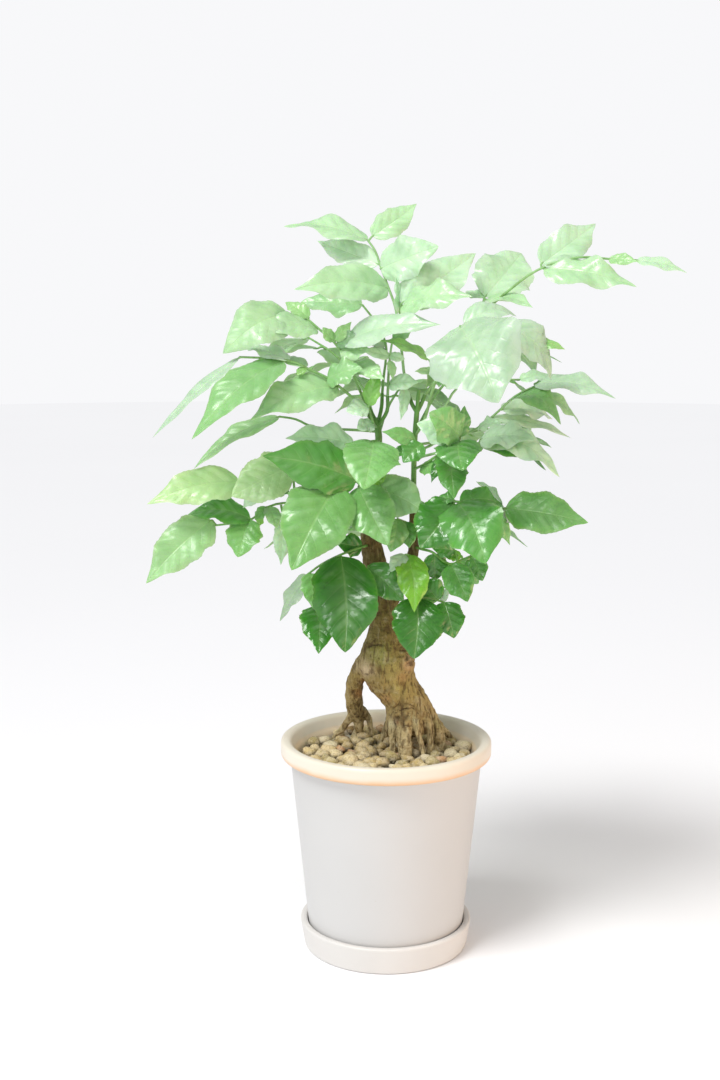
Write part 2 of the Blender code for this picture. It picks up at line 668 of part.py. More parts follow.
def add_soil(parts, holes):
    """The potting mix, which fills the pot and follows its floor's rounded edge."""
    floor = SAUCER_FLOOR + GAP + POT_FLOOR + GAP
    bend = floor + FLOOR_BEND
    low = wall_radius(bend) - GAP * 2
    high = wall_radius(SOIL_TOP) - GAP * 2
    profile = (
        (0.0, SOIL_TOP), (high / 2, SOIL_TOP), (high, SOIL_TOP), (low, bend),
        (low - FLOOR_BEND - GAP, floor), (0.0, floor),
    )
    soil = turned("soil", profile, SOIL_SIDES, False, parts)
    soil.data.materials.append(material("soil_dark", (0.06, 0.04, 0.025), 0.95))
    for hole in holes:
        boolean(soil, "DIFFERENCE", hole)
    apply_modifiers(soil)


def pebble_bed(collection):
    """A slab whose top is packed with pebbles: jittered six-sided cells, each inset and raised."""
    draw = random.Random(STONE_SEED)
    reach = RIM_RADIUS
    rows = int(reach / (STONE_PITCH * HEX_ROW)) + 1
    columns = int(reach / STONE_PITCH) + 1
    bm = bmesh.new()
    for row in range(-rows, rows + 1):
        for column in range(-columns, columns + 1):
            x = (column + (0.5 if row % 2 else 0.0)) * STONE_PITCH
            y = row * STONE_PITCH * HEX_ROW
            if math.hypot(x, y) < reach:
                corner = STONE_PITCH / math.sqrt(3)
                place = Matrix.Translation((x, y, 0.0))
                bmesh.ops.create_circle(bm, cap_ends=True, segments=6, radius=corner, matrix=place)
    bmesh.ops.remove_doubles(bm, verts=bm.verts, dist=STONE_PITCH * 0.1)
    for vert in bm.verts:
        vert.co.x += draw.uniform(-STONE_JITTER, STONE_JITTER)
        vert.co.y += draw.uniform(-STONE_JITTER, STONE_JITTER)
    for vert in bm.verts:
        spread = math.hypot(vert.co.x, vert.co.y) / reach
        vert.co.z = GRAVEL_TOP + GRAVEL_CROWN * (1 - spread * spread)
    for face in list(bm.faces):
        rise = STONE_RISE * draw.uniform(0.7, 1.25)
        shoulder = STONE_SHOULDER * draw.uniform(0.8, 1.15)
        bmesh.ops.inset_individual(bm, faces=[face], thickness=shoulder, depth=0.0)
        for vert in face.verts:
            vert.co.z += rise * draw.uniform(0.75, 1.15)
    border = [edge for edge in bm.edges if edge.is_boundary]
    skirt = bmesh.ops.extrude_edge_only(bm, edges=border)["geom"]
    hem = [item for item in skirt if isinstance(item, bmesh.types.BMEdge) and item.is_boundary]
    for vert in {vert for edge in hem for vert in edge.verts}:
        vert.co.z = SOIL_TOP + GAP
    bmesh.ops.edgeloop_fill(bm, edges=hem)
    bmesh.ops.recalc_face_normals(bm, faces=bm.faces)
    bmesh.ops.triangulate(bm, faces=bm.faces)
    mesh = bpy.data.meshes.new("gravel")
    bm.to_mesh(mesh)
    bm.free()
    return add_object("gravel", mesh, collection)


def add_gravel(parts, cutters, holes):
    """The pebble bed, cut to the pot's inside and bored for the roots."""
    base = SOIL_TOP + GAP / 2
    low = wall_radius(base) - GAP * 2
    high = wall_radius(POT_TOP) - GAP * 2
    profile = ((0.0, POT_TOP), (high, POT_TOP), (low, base), (0.0, base))
    mould = as_cutter(turned("gravel_mould", profile, GRAVEL_SIDES, False, cutters))
    gravel = pebble_bed(parts)
    gravel.data.materials.append(material("gravel_pumice", (0.46, 0.38, 0.22), 0.95))
    boolean(gravel, "INTERSECT", mould, "MANIFOLD")
    for hole in holes:
        boolean(gravel, "DIFFERENCE", hole, "MANIFOLD")
    apply_modifiers(gravel)
    keep_largest_body(gravel)


def add_trunk(parts, sockets):
    """Trunk, side limb, arched root and roots, grown together into one skin."""
    limbs = new_collection("limbs")
    for index, rows in enumerate((TRUNK, SIDE_LIMB, ARCH_ROOT)):
        places, radii = limb_points(rows)
        tube(f"limb_{index}", places, radii, 4, limbs)
    for index, rows in enumerate(ROOTS):
        places, radii = root_points(rows)
        tube(f"root_{index}", places, radii, 3, limbs)
    for index, (x, z, y, radius) in enumerate(KNOTS):
        bm = bmesh.new()
        bmesh.ops.create_icosphere(bm, subdivisions=2, radius=radius * MM)
        bm.transform(Matrix.Translation(sight(x, z, y)))
        mesh = bpy.data.meshes.new(f"knot_{index}")
        bm.to_mesh(mesh)
        bm.free()
        add_object(f"knot_{index}", mesh, limbs)
    wood = bmesh.new()
    for limb in limbs.objects:
        wood.from_mesh(limb.data)
    mesh = bpy.data.meshes.new("trunk")
    wood.to_mesh(mesh)
    wood.free()
    remove_objects(limbs.objects)
    bpy.data.collections.remove(limbs)
    trunk = add_object("trunk", mesh, parts)
    skin = trunk.modifiers.new("skin", "REMESH")
    skin.mode = "VOXEL"
    skin.voxel_size = TRUNK_VOXEL
    smooth = trunk.modifiers.new("smooth", "SMOOTH")
    smooth.factor = 0.5
    smooth.iterations = 3
    apply_modifiers(trunk)
    keep_largest_body(trunk)
    thin = trunk.modifiers.new("thin", "DECIMATE")
    thin.ratio = TRUNK_FACES / (2 * len(trunk.data.polygons))
    apply_modifiers(trunk)
    trunk.data.materials.append(material("trunk_bark", (0.36, 0.27, 0.13), 0.8))
    for socket in sockets:
        boolean(trunk, "DIFFERENCE", socket)
    apply_modifiers(trunk)


def keep_largest_body(item):
    """Drop any scrap that is not joined to the main body of a mesh."""
    bm = bmesh.new()
    bm.from_mesh(item.data)
    seen = set()
    bodies = []
    for start in bm.verts:
        if start in seen:
            continue
        seen.add(start)
        body = [start]
        for vert in body:
            for edge in vert.link_edges:
                other = edge.other_vert(vert)
                if other not in seen:
                    seen.add(other)
                    body.append(other)
        bodies.append(body)
    bodies.sort(key=len)
    for body in bodies[:-1]:
        bmesh.ops.delete(bm, geom=body, context="VERTS")
    bm.to_mesh(item.data)
    bm.free()


def add_stem(name, shoots, parts):
    joined = new_collection(name + "_shoots")
    places, radii = limb_points(shoots[0])
    stem = tube(name, places, radii, 1, parts)
    for index, rows in enumerate(shoots[1:]):
        places, radii = limb_points(rows)
        tube(f"{name}_shoot_{index}", places, radii, 1, joined)
    boolean(stem, "UNION", joined)
    apply_modifiers(stem)
    remove_objects(joined.objects)
    bpy.data.collections.remove(joined)
    stem.data.materials.clear()
    stem.data.materials.append(material(name + "_green", (0.08, 0.24, 0.04), 0.5))


def start_clear(origin, places):
    """Start a rib just off the surface of what it springs from."""
    heading = (places[1] - places[0]).normalized()
    if origin == "shoot":
        places[0] = places[0] + heading * 2 * GAP
    elif origin in STEMS:
        stem_places, stem_radii = limb_points(STEMS[origin][0])
        runs = list(zip(stem_places, stem_places[1:]))
        misses = [((first + second) / 2 - places[0]).length for first, second in runs]
        first, second = runs[misses.index(min(misses))]
        lean = abs(heading.dot((second - first).normalized()))
        across = math.sqrt(1 - lean * lean)
        places[0] = places[0] + heading * (max(stem_radii) + GAP + RIB_RADIUS * lean) / across
    return places


def nearest_on(ribs, point):
    """The point of the ribs' lines that is nearest to a point."""
    best = None
    for places in ribs:
        for first, second in zip(places, places[1:]):
            run = second - first
            share = max(0.04, min(0.96, (point - first).dot(run) / run.length_squared))
            spot = first + run * share
            if best is None or (spot - point).length < (best - point).length:
                best = spot
    return best


def rib_depth(rows, x, z):
    """The depth of the rib where it passes nearest to (x, z) as noted in the survey."""
    best = None
    for rib in rows:
        for first, second in zip(rib, rib[1:]):
            run = Vector((second[0] - first[0], second[1] - first[1]))
            away = Vector((x - first[0], z - first[1]))
            share = max(0.0, min(1.0, away.dot(run) / run.length_squared))
            miss = (away - run * share).length
            if best is None or miss < best[0]:
                best = (miss, first[2] + (second[2] - first[2]) * share)
    return best[1]


def facing(base, tip, turn):
    """The way a leaf's face looks, turned about its midrib from square to the station."""
    axis = (tip - base).normalized()
    view = ((base + tip) / 2 - STATION).normalized()
    side = axis.cross(view).normalized()
    face = side.cross(axis).normalized()
    if face.dot(view) > 0:
        face = -face
    rising = side if side.z > 0 else -side
    if abs(side.z) < STEEP_LEAF:
        rising = side if side.x > 0 else -side
    angle = math.radians(turn)
    return face * math.cos(angle) + rising * math.sin(angle)


def ease(value, low, high):
    """0 below low, 1 above high, and smooth between."""
    share = max(0.0, min(1.0, (value - low) / (high - low)))
    return share * share * (3 - 2 * share)


def half_width(share, ratio):
    """A blade's half width at a share of its length, as a share of its widest."""
    long = ease(ratio, *LONG_RATIOS)
    power = TIP_POWERS[0] + (TIP_POWERS[1] - TIP_POWERS[0]) * long
    pinch = TIP_PINCHES[0] + (TIP_PINCHES[1] - TIP_PINCHES[0]) * long
    peak = BASE_POWER / (BASE_POWER + power)
    full = peak ** BASE_POWER * (1 - peak) ** power
    body = share ** BASE_POWER * (1 - share) ** power / full
    return body * (1 - pinch * ease(share, *PINCH_SPAN))


def blade_rows(width):
    if width < SMALL_LEAF_WIDTH:
        return SMALL_BLADE
    return LARGE_BLADE if width > LARGE_LEAF_WIDTH else MIDDLE_BLADE


def blade(name, root, base, tip, width, face, arch, collection):
    """A leaf blade with its stalk: a thin folded sheet, lofted row by row along its midrib."""
    axis = (tip - base).normalized()
    side = axis.cross(face).normalized()
    length = (tip - base).length
    bm = bmesh.new()
    half_stalk = side * (STALK_WIDTH / 2)
    rows = [[bm.verts.new(root - half_stalk), bm.verts.new(root + half_stalk)]]
    if (base - root).length > 3 * STALK_WIDTH:
        rows.append([bm.verts.new(base - half_stalk), bm.verts.new(base + half_stalk)])
    for index, (share, across) in enumerate(blade_rows(width)):
        middle = base.lerp(tip, share) + face * (arch * length * math.sin(math.pi * share))
        half = width / 2 * half_width(share, length / width)
        ripple = BLADE_WAVE * width * (1 if index % 2 else -1)
        left = middle - side * half + face * (BLADE_FOLD * half + ripple)
        right = middle + side * half + face * (BLADE_FOLD * half - ripple)
        if across == 3:
            rows.append([bm.verts.new(left), bm.verts.new(middle), bm.verts.new(right)])
        else:
            rows.append([bm.verts.new(left), bm.verts.new(right)])
    rows.append([bm.verts.new(tip)])
    for low, high in zip(rows, rows[1:]):
        loft(bm, low, high)
    mesh = bpy.data.meshes.new(name)
    bm.to_mesh(mesh)
    bm.free()
    item = add_object(name, mesh, collection)
    wall = item.modifiers.new("thickness", "SOLIDIFY")
    wall.thickness = LEAF_THICKNESS
    wall.offset = 0.0
    return item


def loft(bm, low, high):
    """Triangles between two rows of one to three points each."""
    a, b = 0, 0
    while a < len(low) - 1 or b < len(high) - 1:
        step_low = (a + 1) / max(len(low) - 1, 1) if a < len(low) - 1 else 9.0
        step_high = (b + 1) / max(len(high) - 1, 1) if b < len(high) - 1 else 9.0
        if step_low <= step_high:
            bm.faces.new((low[a], low[a + 1], high[b]))
            a += 1
        else:
            bm.faces.new((low[a], high[b + 1], high[b]))
            b += 1


def leaf_from_row(name, row, ribs, rib_rows, collection):
    base_x, base_z, tip_x, tip_z, tip_y, width, turn, arch, tone = row
    base = sight(base_x, base_z, rib_depth(rib_rows, base_x, base_z))
    tip = sight(tip_x, tip_z, tip_y)
    root = nearest_on(ribs, base)
    blade(name, root, base, tip, width * MM, facing(base, tip, turn), arch, collection)


def far_leaves(name, rib, length, width, seed, collection):
    """Pairs of leaflets and an end leaflet on a far-side rib, drooping outwards."""
    draw = random.Random(seed)
    out = rib[-1] - rib[-2]
    out.z = 0.0
    out.normalize()
    across = Vector((-out.y, out.x, 0.0))
    places = [(rib[-1], 0.0, 1.0)]
    for point, share, size in FAR_PAIRS:
        spot = rib[point].lerp(rib[point + 1], share)
        places.append((spot, 1.0, size))
        places.append((spot, -1.0, size))
    for index, (spot, hand, size) in enumerate(places):
        heading = out * (FAR_LEAN if hand else 1.0) + across * hand
        heading = heading.normalized() + Vector((0.0, 0.0, draw.uniform(*FAR_DROOP)))
        heading.normalize()
        base = spot + heading * FAR_STALK
        tip = base + heading * length * MM * size * draw.uniform(*FAR_LENGTHS)
        face = Vector((0.0, 0.0, 1.0)) + out * draw.uniform(*FAR_TILT)
        face = (face - heading * face.dot(heading)).normalized()
        blade(f"{name}_leaf_{index}", spot, base, tip, width * MM * size, face, FAR_ARCH, collection)


def mixed_tone(leaves):
    colours = [TONES[row[-1]] for row in leaves]
    return tuple(sum(channel) / len(colours) for channel in zip(*colours))


def start_frond(name, origin, rib_rows, parts):
    """A frond's ribs: the first as the frond's own body, the others to be joined to it."""
    ribs = [[sight(*row) for row in rib] for rib in rib_rows]
    ribs[0] = start_clear(origin, ribs[0])
    joined = new_collection(name + "_joined")
    frond = None
    for index, places in enumerate(ribs):
        last = len(places) - 1
        radii = [RIB_RADIUS * (1 + (RIB_TIP_SHARE - 1) * i / last) for i in range(last + 1)]
        if index == 0:
            frond = tube(name, places, radii, 0, parts)
        else:
            tube(f"{name}_rib_{index}", places, radii, 0, joined)
    return frond, ribs, joined


def finish_frond(frond, joined, colour):
    """Grow the leaves and side ribs onto a frond as one body."""
    boolean(frond, "UNION", joined, "MANIFOLD")
    apply_modifiers(frond)
    remove_objects(joined.objects)
    bpy.data.collections.remove(joined)
    keep_largest_body(frond)
    frond.data.materials.clear()
    frond.data.materials.append(material(frond.name + "_green", colour, 0.4))


def socket(name, places, radius, cutters):
    """The plain hole in the wood that a stem or a frond's rib stands in."""
    run = places[1] - places[0]
    heading = run.normalized()
    ends = [places[0] - heading * GAP, places[0] + heading * min(run.length, SOCKET_DEPTH)]
    bore = radius + SOCKET_CLEARANCE
    return as_cutter(tube(name + "_socket", ends, [bore, bore], 1, cutters))


def main():
    remove_objects(bpy.data.objects)
    parts = new_collection("potted_heteropanax")
    cutters = new_collection("cutters")

    add_saucer(parts)
    add_pot(parts)
    holes = root_cutters(cutters)
    add_soil(parts, holes)
    add_gravel(parts, cutters, holes)

    sockets = []
    for name, shoots in STEMS.items():
        add_stem(name, shoots, parts)
        places, radii = limb_points(shoots[0])
        sockets.append(socket(name, places, max(radii), cutters))

    for name, plan in FRONDS.items():
        frond, ribs, joined = start_frond(name, plan["from"], plan["ribs"], parts)
        for index, row in enumerate(plan["leaves"]):
            leaf_from_row(f"{name}_leaf_{index}", row, ribs, plan["ribs"], joined)
        finish_frond(frond, joined, mixed_tone(plan["leaves"]))
        if plan["from"] == "wood":
            sockets.append(socket(name, ribs[0], RIB_RADIUS, cutters))

    for name, (origin, rib_rows, length, width, seed) in FAR_FRONDS.items():
        frond, ribs, joined = start_frond(name, origin, (rib_rows,), parts)
        far_leaves(name, ribs[0], length, width, seed, joined)
        finish_frond(frond, joined, TONES["mid"])
        if origin == "wood":
            sockets.append(socket(name, ribs[0], RIB_RADIUS, cutters))

    add_trunk(parts, sockets)


main()
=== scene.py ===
import math
import random

import bmesh
import bpy
from mathutils import Matrix, Vector, noise


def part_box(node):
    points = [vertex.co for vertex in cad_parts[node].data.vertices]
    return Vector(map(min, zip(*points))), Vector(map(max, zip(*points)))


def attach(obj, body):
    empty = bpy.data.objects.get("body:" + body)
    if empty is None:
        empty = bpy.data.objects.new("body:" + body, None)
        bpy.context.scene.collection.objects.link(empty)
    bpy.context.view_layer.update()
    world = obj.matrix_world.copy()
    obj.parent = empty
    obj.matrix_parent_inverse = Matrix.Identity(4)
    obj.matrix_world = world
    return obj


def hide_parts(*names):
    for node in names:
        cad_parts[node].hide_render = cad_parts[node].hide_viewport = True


# Looks of a potted heteropanax: a small tree with an arched root in a white pot on a saucer.
# Sizes are metres. The survey of the plant is in millimetres, noted as in the next lines.
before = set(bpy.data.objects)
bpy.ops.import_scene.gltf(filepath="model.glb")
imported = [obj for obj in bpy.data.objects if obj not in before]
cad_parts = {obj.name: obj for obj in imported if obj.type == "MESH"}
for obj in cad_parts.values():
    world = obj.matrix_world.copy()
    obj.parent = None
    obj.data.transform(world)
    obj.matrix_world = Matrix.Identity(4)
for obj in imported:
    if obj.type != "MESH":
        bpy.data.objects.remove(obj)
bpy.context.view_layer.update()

# The point that the plant is surveyed from, which is also where the camera stands
MM = 0.001
STATION = Vector((-0.0198, -1.103, 0.4957))
CAMERA_TILT = 80.7

LENS_LENGTH = 50.0
SENSOR_WIDTH = 36.0

# Light: the wall's colour, the even light of the room, and the daylight's place, strength and
# spread. The other lights are rows of place, target, size, watts and colour.
WALL_COLOUR = (0.938, 0.940, 0.955, 1.0)
AMBIENT = 0.57
DAYLIGHT_PLACE = (-1.0, -0.9, 1.9)
DAYLIGHT = 1.70
DAYLIGHT_SPREAD = 24.0
LIGHTS = {
    "lamp": ((-0.30, -0.45, 1.35), (0.02, -0.02, 0.42), 0.36, 2.6, (1.0, 0.99, 0.97)),
    "window": ((-0.55, -0.95, 0.62), (0.0, 0.0, 0.3), 0.5, 2.8, (0.97, 0.98, 1.0)),
    "warm_fill": ((0.95, -0.45, 0.12), (0.0, 0.0, 0.1), 0.7, 4.8, (1.0, 0.62, 0.33)),
}
FLOOR_RADIUS = 6.0
FLOOR_SIDES = 96

# Pot and saucer, as the frame has them
POT_LOW, POT_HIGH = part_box("pot")
SAUCER_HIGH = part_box("saucer")[1]
RIM_RADIUS = POT_HIGH.x
POT_TOP = POT_HIGH.z
POT_FOOT = POT_LOW.z
BAND_HEIGHT = 0.013
BODY_TOP_RADIUS = 0.0725
BODY_FOOT_RADIUS = 0.0592
POT_FOOT_RADIUS = 0.0560
POT_WALL = 0.0060
POT_FLOOR = 0.0070
DRAIN_RADIUS = 0.0100
SAUCER_RADIUS = SAUCER_HIGH.x
SAUCER_FOOT_RADIUS = 0.0625
SAUCER_HEIGHT = SAUCER_HIGH.z
SAUCER_WALL = 0.0055
SAUCER_FLOOR = 0.0050
SAUCER_COVE = 0.0014
SAUCER_ROUNDING = (0.0022, 5)
POT_ROUNDING = (0.0036, 6)
RIM_LIP = 0.0072
BAND_DROP = 0.0006
BAND_STEP = 0.0008
NECK_HEIGHT = 0.0040
FOOT_HEIGHT = 0.0090
TURN_STEPS = 128

# Pebbles. Their colour carries painted shade: darker low down in the gaps and on each pebble's lower
# side.
PEBBLE_SEED = 4
PEBBLE_LAYERS = ((0.1430, 0.0100, 0.0), (0.1470, 0.0112, 0.5), (0.1512, 0.0122, 0.25))
PEBBLE_SIZES = (0.0040, 0.0064)
PEBBLE_STRETCH = (0.95, 1.35)
PEBBLE_FLATNESS = (0.66, 0.95)
PEBBLE_TILT = 0.6
PEBBLE_LUMPS = ((1.5, 0.22), (3.4, 0.10))
PEBBLE_FULLNESS = 1.12
PEBBLE_FACETS = 7
PEBBLE_FACET_REACH = (0.58, 0.86)
PEBBLE_FACET_CUT = 0.85
PEBBLE_JITTER = 0.28
PEBBLE_LIFT = (-0.0008, 0.0010)
ROW_PITCH = 0.87
PEBBLE_SHADES = (0.85, 1.15)
PEBBLE_TONES = (
    (0.66, 0.51, 0.25), (0.57, 0.43, 0.19), (0.74, 0.60, 0.33), (0.40, 0.26, 0.11),
    (0.58, 0.34, 0.17), (0.80, 0.69, 0.44), (0.49, 0.40, 0.18), (0.86, 0.81, 0.70),
)
PEBBLE_SHARES = (8, 7, 7, 3, 2.5, 4, 4, 0.4)
# Painted shade of the pebbles: the heights over which it lifts, its span up each pebble's side, and its
# darkest share
GAP_SHADE_LEVEL = (0.1455, 0.1535)
GAP_SHADE_SIDES = (-0.4, 0.5)
GAP_SHADE = 0.10

# Leaf blades
BLADE_ACROSS = 12
BLADE_ALONG = 36
BLADE_THICKNESS = 0.0005
BLADE_FOLD = 0.22
BLADE_CURL = 0.16
BLADE_WAVES = (0.06, 0.13)
BLADE_QUILT = 0.13
QUILT_ROUNDNESS = 0.7
QUILT_LEVEL = 0.6
QUILT_START = (0.02, 0.3)
QUILT_END = (0.7, 1.0)
END_TAPER = 0.05
LEAF_RIPPLES = (1.4, 2.4)
LEAF_LOBES = (2.5, 4.5)
LEAF_SWAY = 0.04
LEAF_SHADES = (0.88, 1.10)
HEART_PALING = 0.10
MARGIN_WAVE = 0.045
MARGIN_NICKS = 0.10
MARGIN_TOOTH = 0.012
VEIN_PAIRS = 6.5
VEINED_LENGTH = 0.055
VEIN_SLANT = 0.85
STALK_RADIUS = 0.00095
STALK_TAPER = (1.0, 0.85, 0.8, 0.4)
STALK_TINT = 0.4
RIB_RADIUS = 0.0011
RIB_TIP_SHARE = 0.7

TONES = {
    "mint": (0.53, 0.75, 0.50),
    "pale": (0.37, 0.62, 0.29),
    "fresh": (0.19, 0.43, 0.125),
    "lime": (0.18, 0.45, 0.028),
    "mid": (0.092, 0.30, 0.055),
    "deep": (0.034, 0.175, 0.016),
    "grey": (0.36, 0.47, 0.34),
    "lemon": (0.47, 0.70, 0.32),
    # The silver tone is a grey-green leaf colour that also stands in for white sheen: painted sheen
    "silver_sheen": (0.44, 0.59, 0.43),
    # The frost tone is a pale leaf green made near-white as painted light on leaves lying in shade
    "frost_painted_light": (0.64, 0.81, 0.61),
}
STALK_TONE = (0.16, 0.40, 0.06)
# Leaves pale towards the top: partly young growth, partly painted light from above. Most paling, then
# the heights where it starts and where it is full
TOP_PALING_YOUNG_AND_LIT = (0.55, 0.37, 0.53)

# Finishes. Grains are scale, detail and stretch.
EVEN = (1.0, 1.0, 1.0)
GRAINS = {
    "leaf_mottle": (90.0, 5.0, EVEN),
    "leaf_sheen_patch": (48.0, 3.0, EVEN),
    "stalk_streak": (260.0, 3.0, (1.0, 1.0, 0.25)),
    "bark_broad": (95.0, 4.0, EVEN),
    "bark_grain": (420.0, 6.0, (1.0, 1.0, 0.28)),
    "bark_cross": (300.0, 4.0, (0.35, 0.35, 1.6)),
    "bark_pits": (760.0, 3.0, (1.0, 1.0, 0.7)),
    "glaze_cloud": (18.0, 3.0, EVEN),
    "glaze_wobble": (40.0, 4.0, EVEN),
    "glaze_speck": (900.0, 2.0, EVEN),
    "orange_peel": (130.0, 2.0, EVEN),
    "saucer_cloud": (26.0, 3.0, EVEN),
    "saucer_grain": (1400.0, 3.0, EVEN),
    "pebble_grain": (900.0, 6.0, EVEN),
    "pebble_blot": (260.0, 3.0, EVEN),
    "soil_grain": (500.0, 8.0, EVEN),
    "floor_drift": (1.2, 2.0, EVEN),
}
SIDE_VEIN_EDGE = (0.0, 0.075)
SIDE_VEIN_SHARE = 0.4
MIDRIB_EDGE = (0.012, 0.060)
UPPER_ROUGHNESS = (0.13, 0.25)
UNDER_ROUGHNESS = (0.46, 0.62)
PALE_DULLING = 0.10
VEIN_GREEN = (0.60, 0.80, 0.36)
UNDERSIDE_GREEN = (0.50, 0.62, 0.45)
UNDERSIDE_VEIN_GREEN = (0.70, 0.82, 0.55)
# Painted sheen: the pale green laid in patches on the puffed skin between the veins
PAINTED_SHEEN_GREEN = (0.66, 0.84, 0.60)
STREAK_SHADE = (0.62, 0.60, 0.45)
PALE_BARK = (0.60, 0.52, 0.34)
BARK_SHADE = (0.58, 0.50, 0.40)
RIDGE_TAN = (0.58, 0.47, 0.27)
STREAK_BROWN = (0.10, 0.058, 0.020)
PIT_BROWN = (0.12, 0.07, 0.03)
# Painted shade laid in the bark's sunken creases, knot holes and root grooves
PAINTED_SHADE_BROWN = (0.055, 0.03, 0.012)
WHITE_GLAZE = ((0.585, 0.580, 0.568), (0.600, 0.594, 0.582))
CREAM_GLAZE = ((0.76, 0.68, 0.56), (0.79, 0.73, 0.62))
ORANGE_EDGE = (0.80, 0.46, 0.22)
LIT_WARM_LINING = (0.95, 0.80, 0.60)
SPECK_BROWN = (0.45, 0.36, 0.27)
SAUCER_WHITE = ((0.66, 0.64, 0.61), (0.69, 0.67, 0.64))
DUST_TAN = (0.60, 0.52, 0.42)
PEBBLE_LIGHT = (0.80, 0.70, 0.52)
PORE_SHADE = (0.52, 0.46, 0.40)
SOIL_BROWN = ((0.03, 0.02, 0.012), (0.12, 0.08, 0.045))
PALE_FLOOR = ((0.918, 0.918, 0.928), (0.924, 0.924, 0.934))

# Trunk: the skin's fineness, then the pitch of its noises across and along the wood
TRUNK_VOXEL = 0.0008
BARK_DEPTH = 0.0006
FLUTE_PITCH = (210, 26)
RIDGE_PITCH = (520, 240)
LUMP_PITCH = 80.0
ROOT_LEVELS = (0.180, 0.225)
GROOVE_SPAN = (0.20, 0.55)
ROOT_RUN_ON = 0.008
ROOT_TAPER = 0.8
TONE_DRIFT = 0.008
PATCH_WOBBLE = 0.6
PATCH_COVER = 0.8

# Scars: wobble and breaks of the creases, the swollen ring round a knot, and how dark each gets. The
# darkness in knot holes and sunken creases is painted shade; the ring gets a faint darkening.
CREASE_WOBBLE = 0.0006
CREASE_BREAKS = (-0.30, 0.20)
RING_PLACE = 1.5
RING_WIDTH = 0.35
RING_RISE = 0.3
KNOT_HOLE_SHADE = 0.75
RING_DARKNESS = 0.12
CREASE_SHADE = 0.78

# Smooth tubes: sides, and steps between two points
LIMB_TUBE = (20, 6)
STEM_TUBE = (12, 4)
RIB_TUBE = (8, 3)

# Blade outline: a curve of two powers, the tip's power and its pinch growing from a round leaf
# to a long one.
BASE_POWER = 0.52
TIP_POWERS = (0.73, 0.92)
TIP_PINCHES = (0.26, 0.42)
PINCH_SPAN = (0.66, 0.94)
LONG_RATIOS = (1.3, 2.3)
STEEP_LEAF = 0.2

# Leaflets of the far-side fronds. A pair is noted by the rib point before it, its share of the
# way to the next point and its size.
FAR_PAIRS = ((-2, 0.45, 0.95), (-3, 0.75, 0.85))
FAR_LEAN = 0.45
FAR_DROOP = (-0.55, -0.15)
FAR_LENGTHS = (0.9, 1.05)
FAR_TILT = (0.1, 0.4)
FAR_STALK = 0.004
FAR_ARCH = 0.10
PALE_HEART = Vector((0.50, 0.72, 0.30))
STEM_TONE = (0.12, 0.30, 0.06)

# Scars on the front of the wood, in survey millimetres. Knots are x, z, radius and depth, below
# zero for a swelling. Creases are half width, depth and the points that they run through.
KNOT_HOLES = (
    (7.8, 178, 2.3, 1.7), (15.4, 178.5, 1.8, 1.3), (22.3, 179.8, 2.6, -1.1), (12, 183, 2.2, -0.8),
    (15.5, 224.5, 1.6, 0.9), (19, 221, 2.0, 0.8), (-11, 209, 2.6, -0.9), (20.5, 162, 2.4, 1.6),
)
CREASES = (
    (0.55, 0.9, (-16, 233), (-9, 235), (-3.5, 235), (4, 233), (10, 230.5), (16, 230.5)),
    (0.5, 0.6, (-13, 248), (-4, 247), (4, 247.5), (9, 249)),
    (0.6, 0.8, (14, 219.5), (18, 221), (22, 222.5)),
    (0.5, 0.6, (11, 216), (15, 218.5), (20, 220)),
    (0.6, 0.7, (1, 213.5), (4, 215.5), (7, 213), (11, 217)),
    (0.7, 0.9, (-15, 212), (-9, 212.5), (-4, 211), (0, 212.5)),
    (0.5, 0.5, (-13, 205), (-7, 200), (-2, 197), (0, 192)),
    (0.6, 0.8, (19, 206), (21, 199), (22.5, 193), (22, 188)),
    (0.6, 0.6, (24, 203), (26.5, 196), (30, 190), (34, 183), (36.5, 175), (38, 164)),
    (0.7, -0.9, (0.5, 182), (4.5, 187.5), (10, 190.5), (17, 191.5), (24, 188.5), (28, 183.5)),
    (0.6, 0.8, (3, 181.5), (6, 186), (11, 188.5), (17, 188.8), (22.5, 186.5), (26, 182), (27, 176)),
    (0.6, 1.0, (10.5, 183.5), (14.5, 185), (19.5, 186), (24, 183), (26, 179)),
    (0.5, 0.7, (6.5, 184), (5.5, 178), (7.5, 171.5), (6.3, 163)),
    (0.7, 1.0, (7.5, 171), (13.5, 172.3), (19.5, 171.6), (22.5, 173.5)),
    (0.6, 0.9, (27, 183), (31.5, 181.5), (34.5, 177), (35.5, 168), (35.5, 158)),
    (0.6, 0.7, (28, 176), (29.5, 168), (30.5, 158)),
    (0.5, 0.6, (-24, 190), (-23, 184), (-21, 178)),
)

# Bark tones, from the top of the trunk to the root feet, and patches as x, z, radius and tone
BARK_TONES = (
    (0.300, (0.18, 0.13, 0.04)), (0.262, (0.20, 0.155, 0.04)), (0.238, (0.25, 0.19, 0.055)),
    (0.205, (0.36, 0.26, 0.085)), (0.182, (0.44, 0.335, 0.14)), (0.160, (0.62, 0.51, 0.28)),
)
BARK_PATCHES = (
    (-4, 230, 8, (0.30, 0.32, 0.07)), (6, 222, 7, (0.40, 0.34, 0.10)),
    (9, 205, 9, (0.44, 0.37, 0.11)), (17, 223, 5, (0.58, 0.35, 0.17)),
    (-15, 219, 6, (0.74, 0.58, 0.36)), (-17, 204, 4, (0.34, 0.12, 0.04)),
    (-19, 193, 4, (0.46, 0.20, 0.07)), (0, 196, 5, (0.52, 0.31, 0.12)),
    (12, 214, 4, (0.42, 0.25, 0.09)), (41, 172, 6, (0.34, 0.32, 0.14)),
    (30, 170, 3.4, (0.24, 0.15, 0.05)), (7.8, 178, 2.2, (0.22, 0.07, 0.03)),
    (3.5, 176, 3.5, (0.76, 0.70, 0.44)), (22.3, 179.8, 2.2, (0.74, 0.70, 0.42)),
)

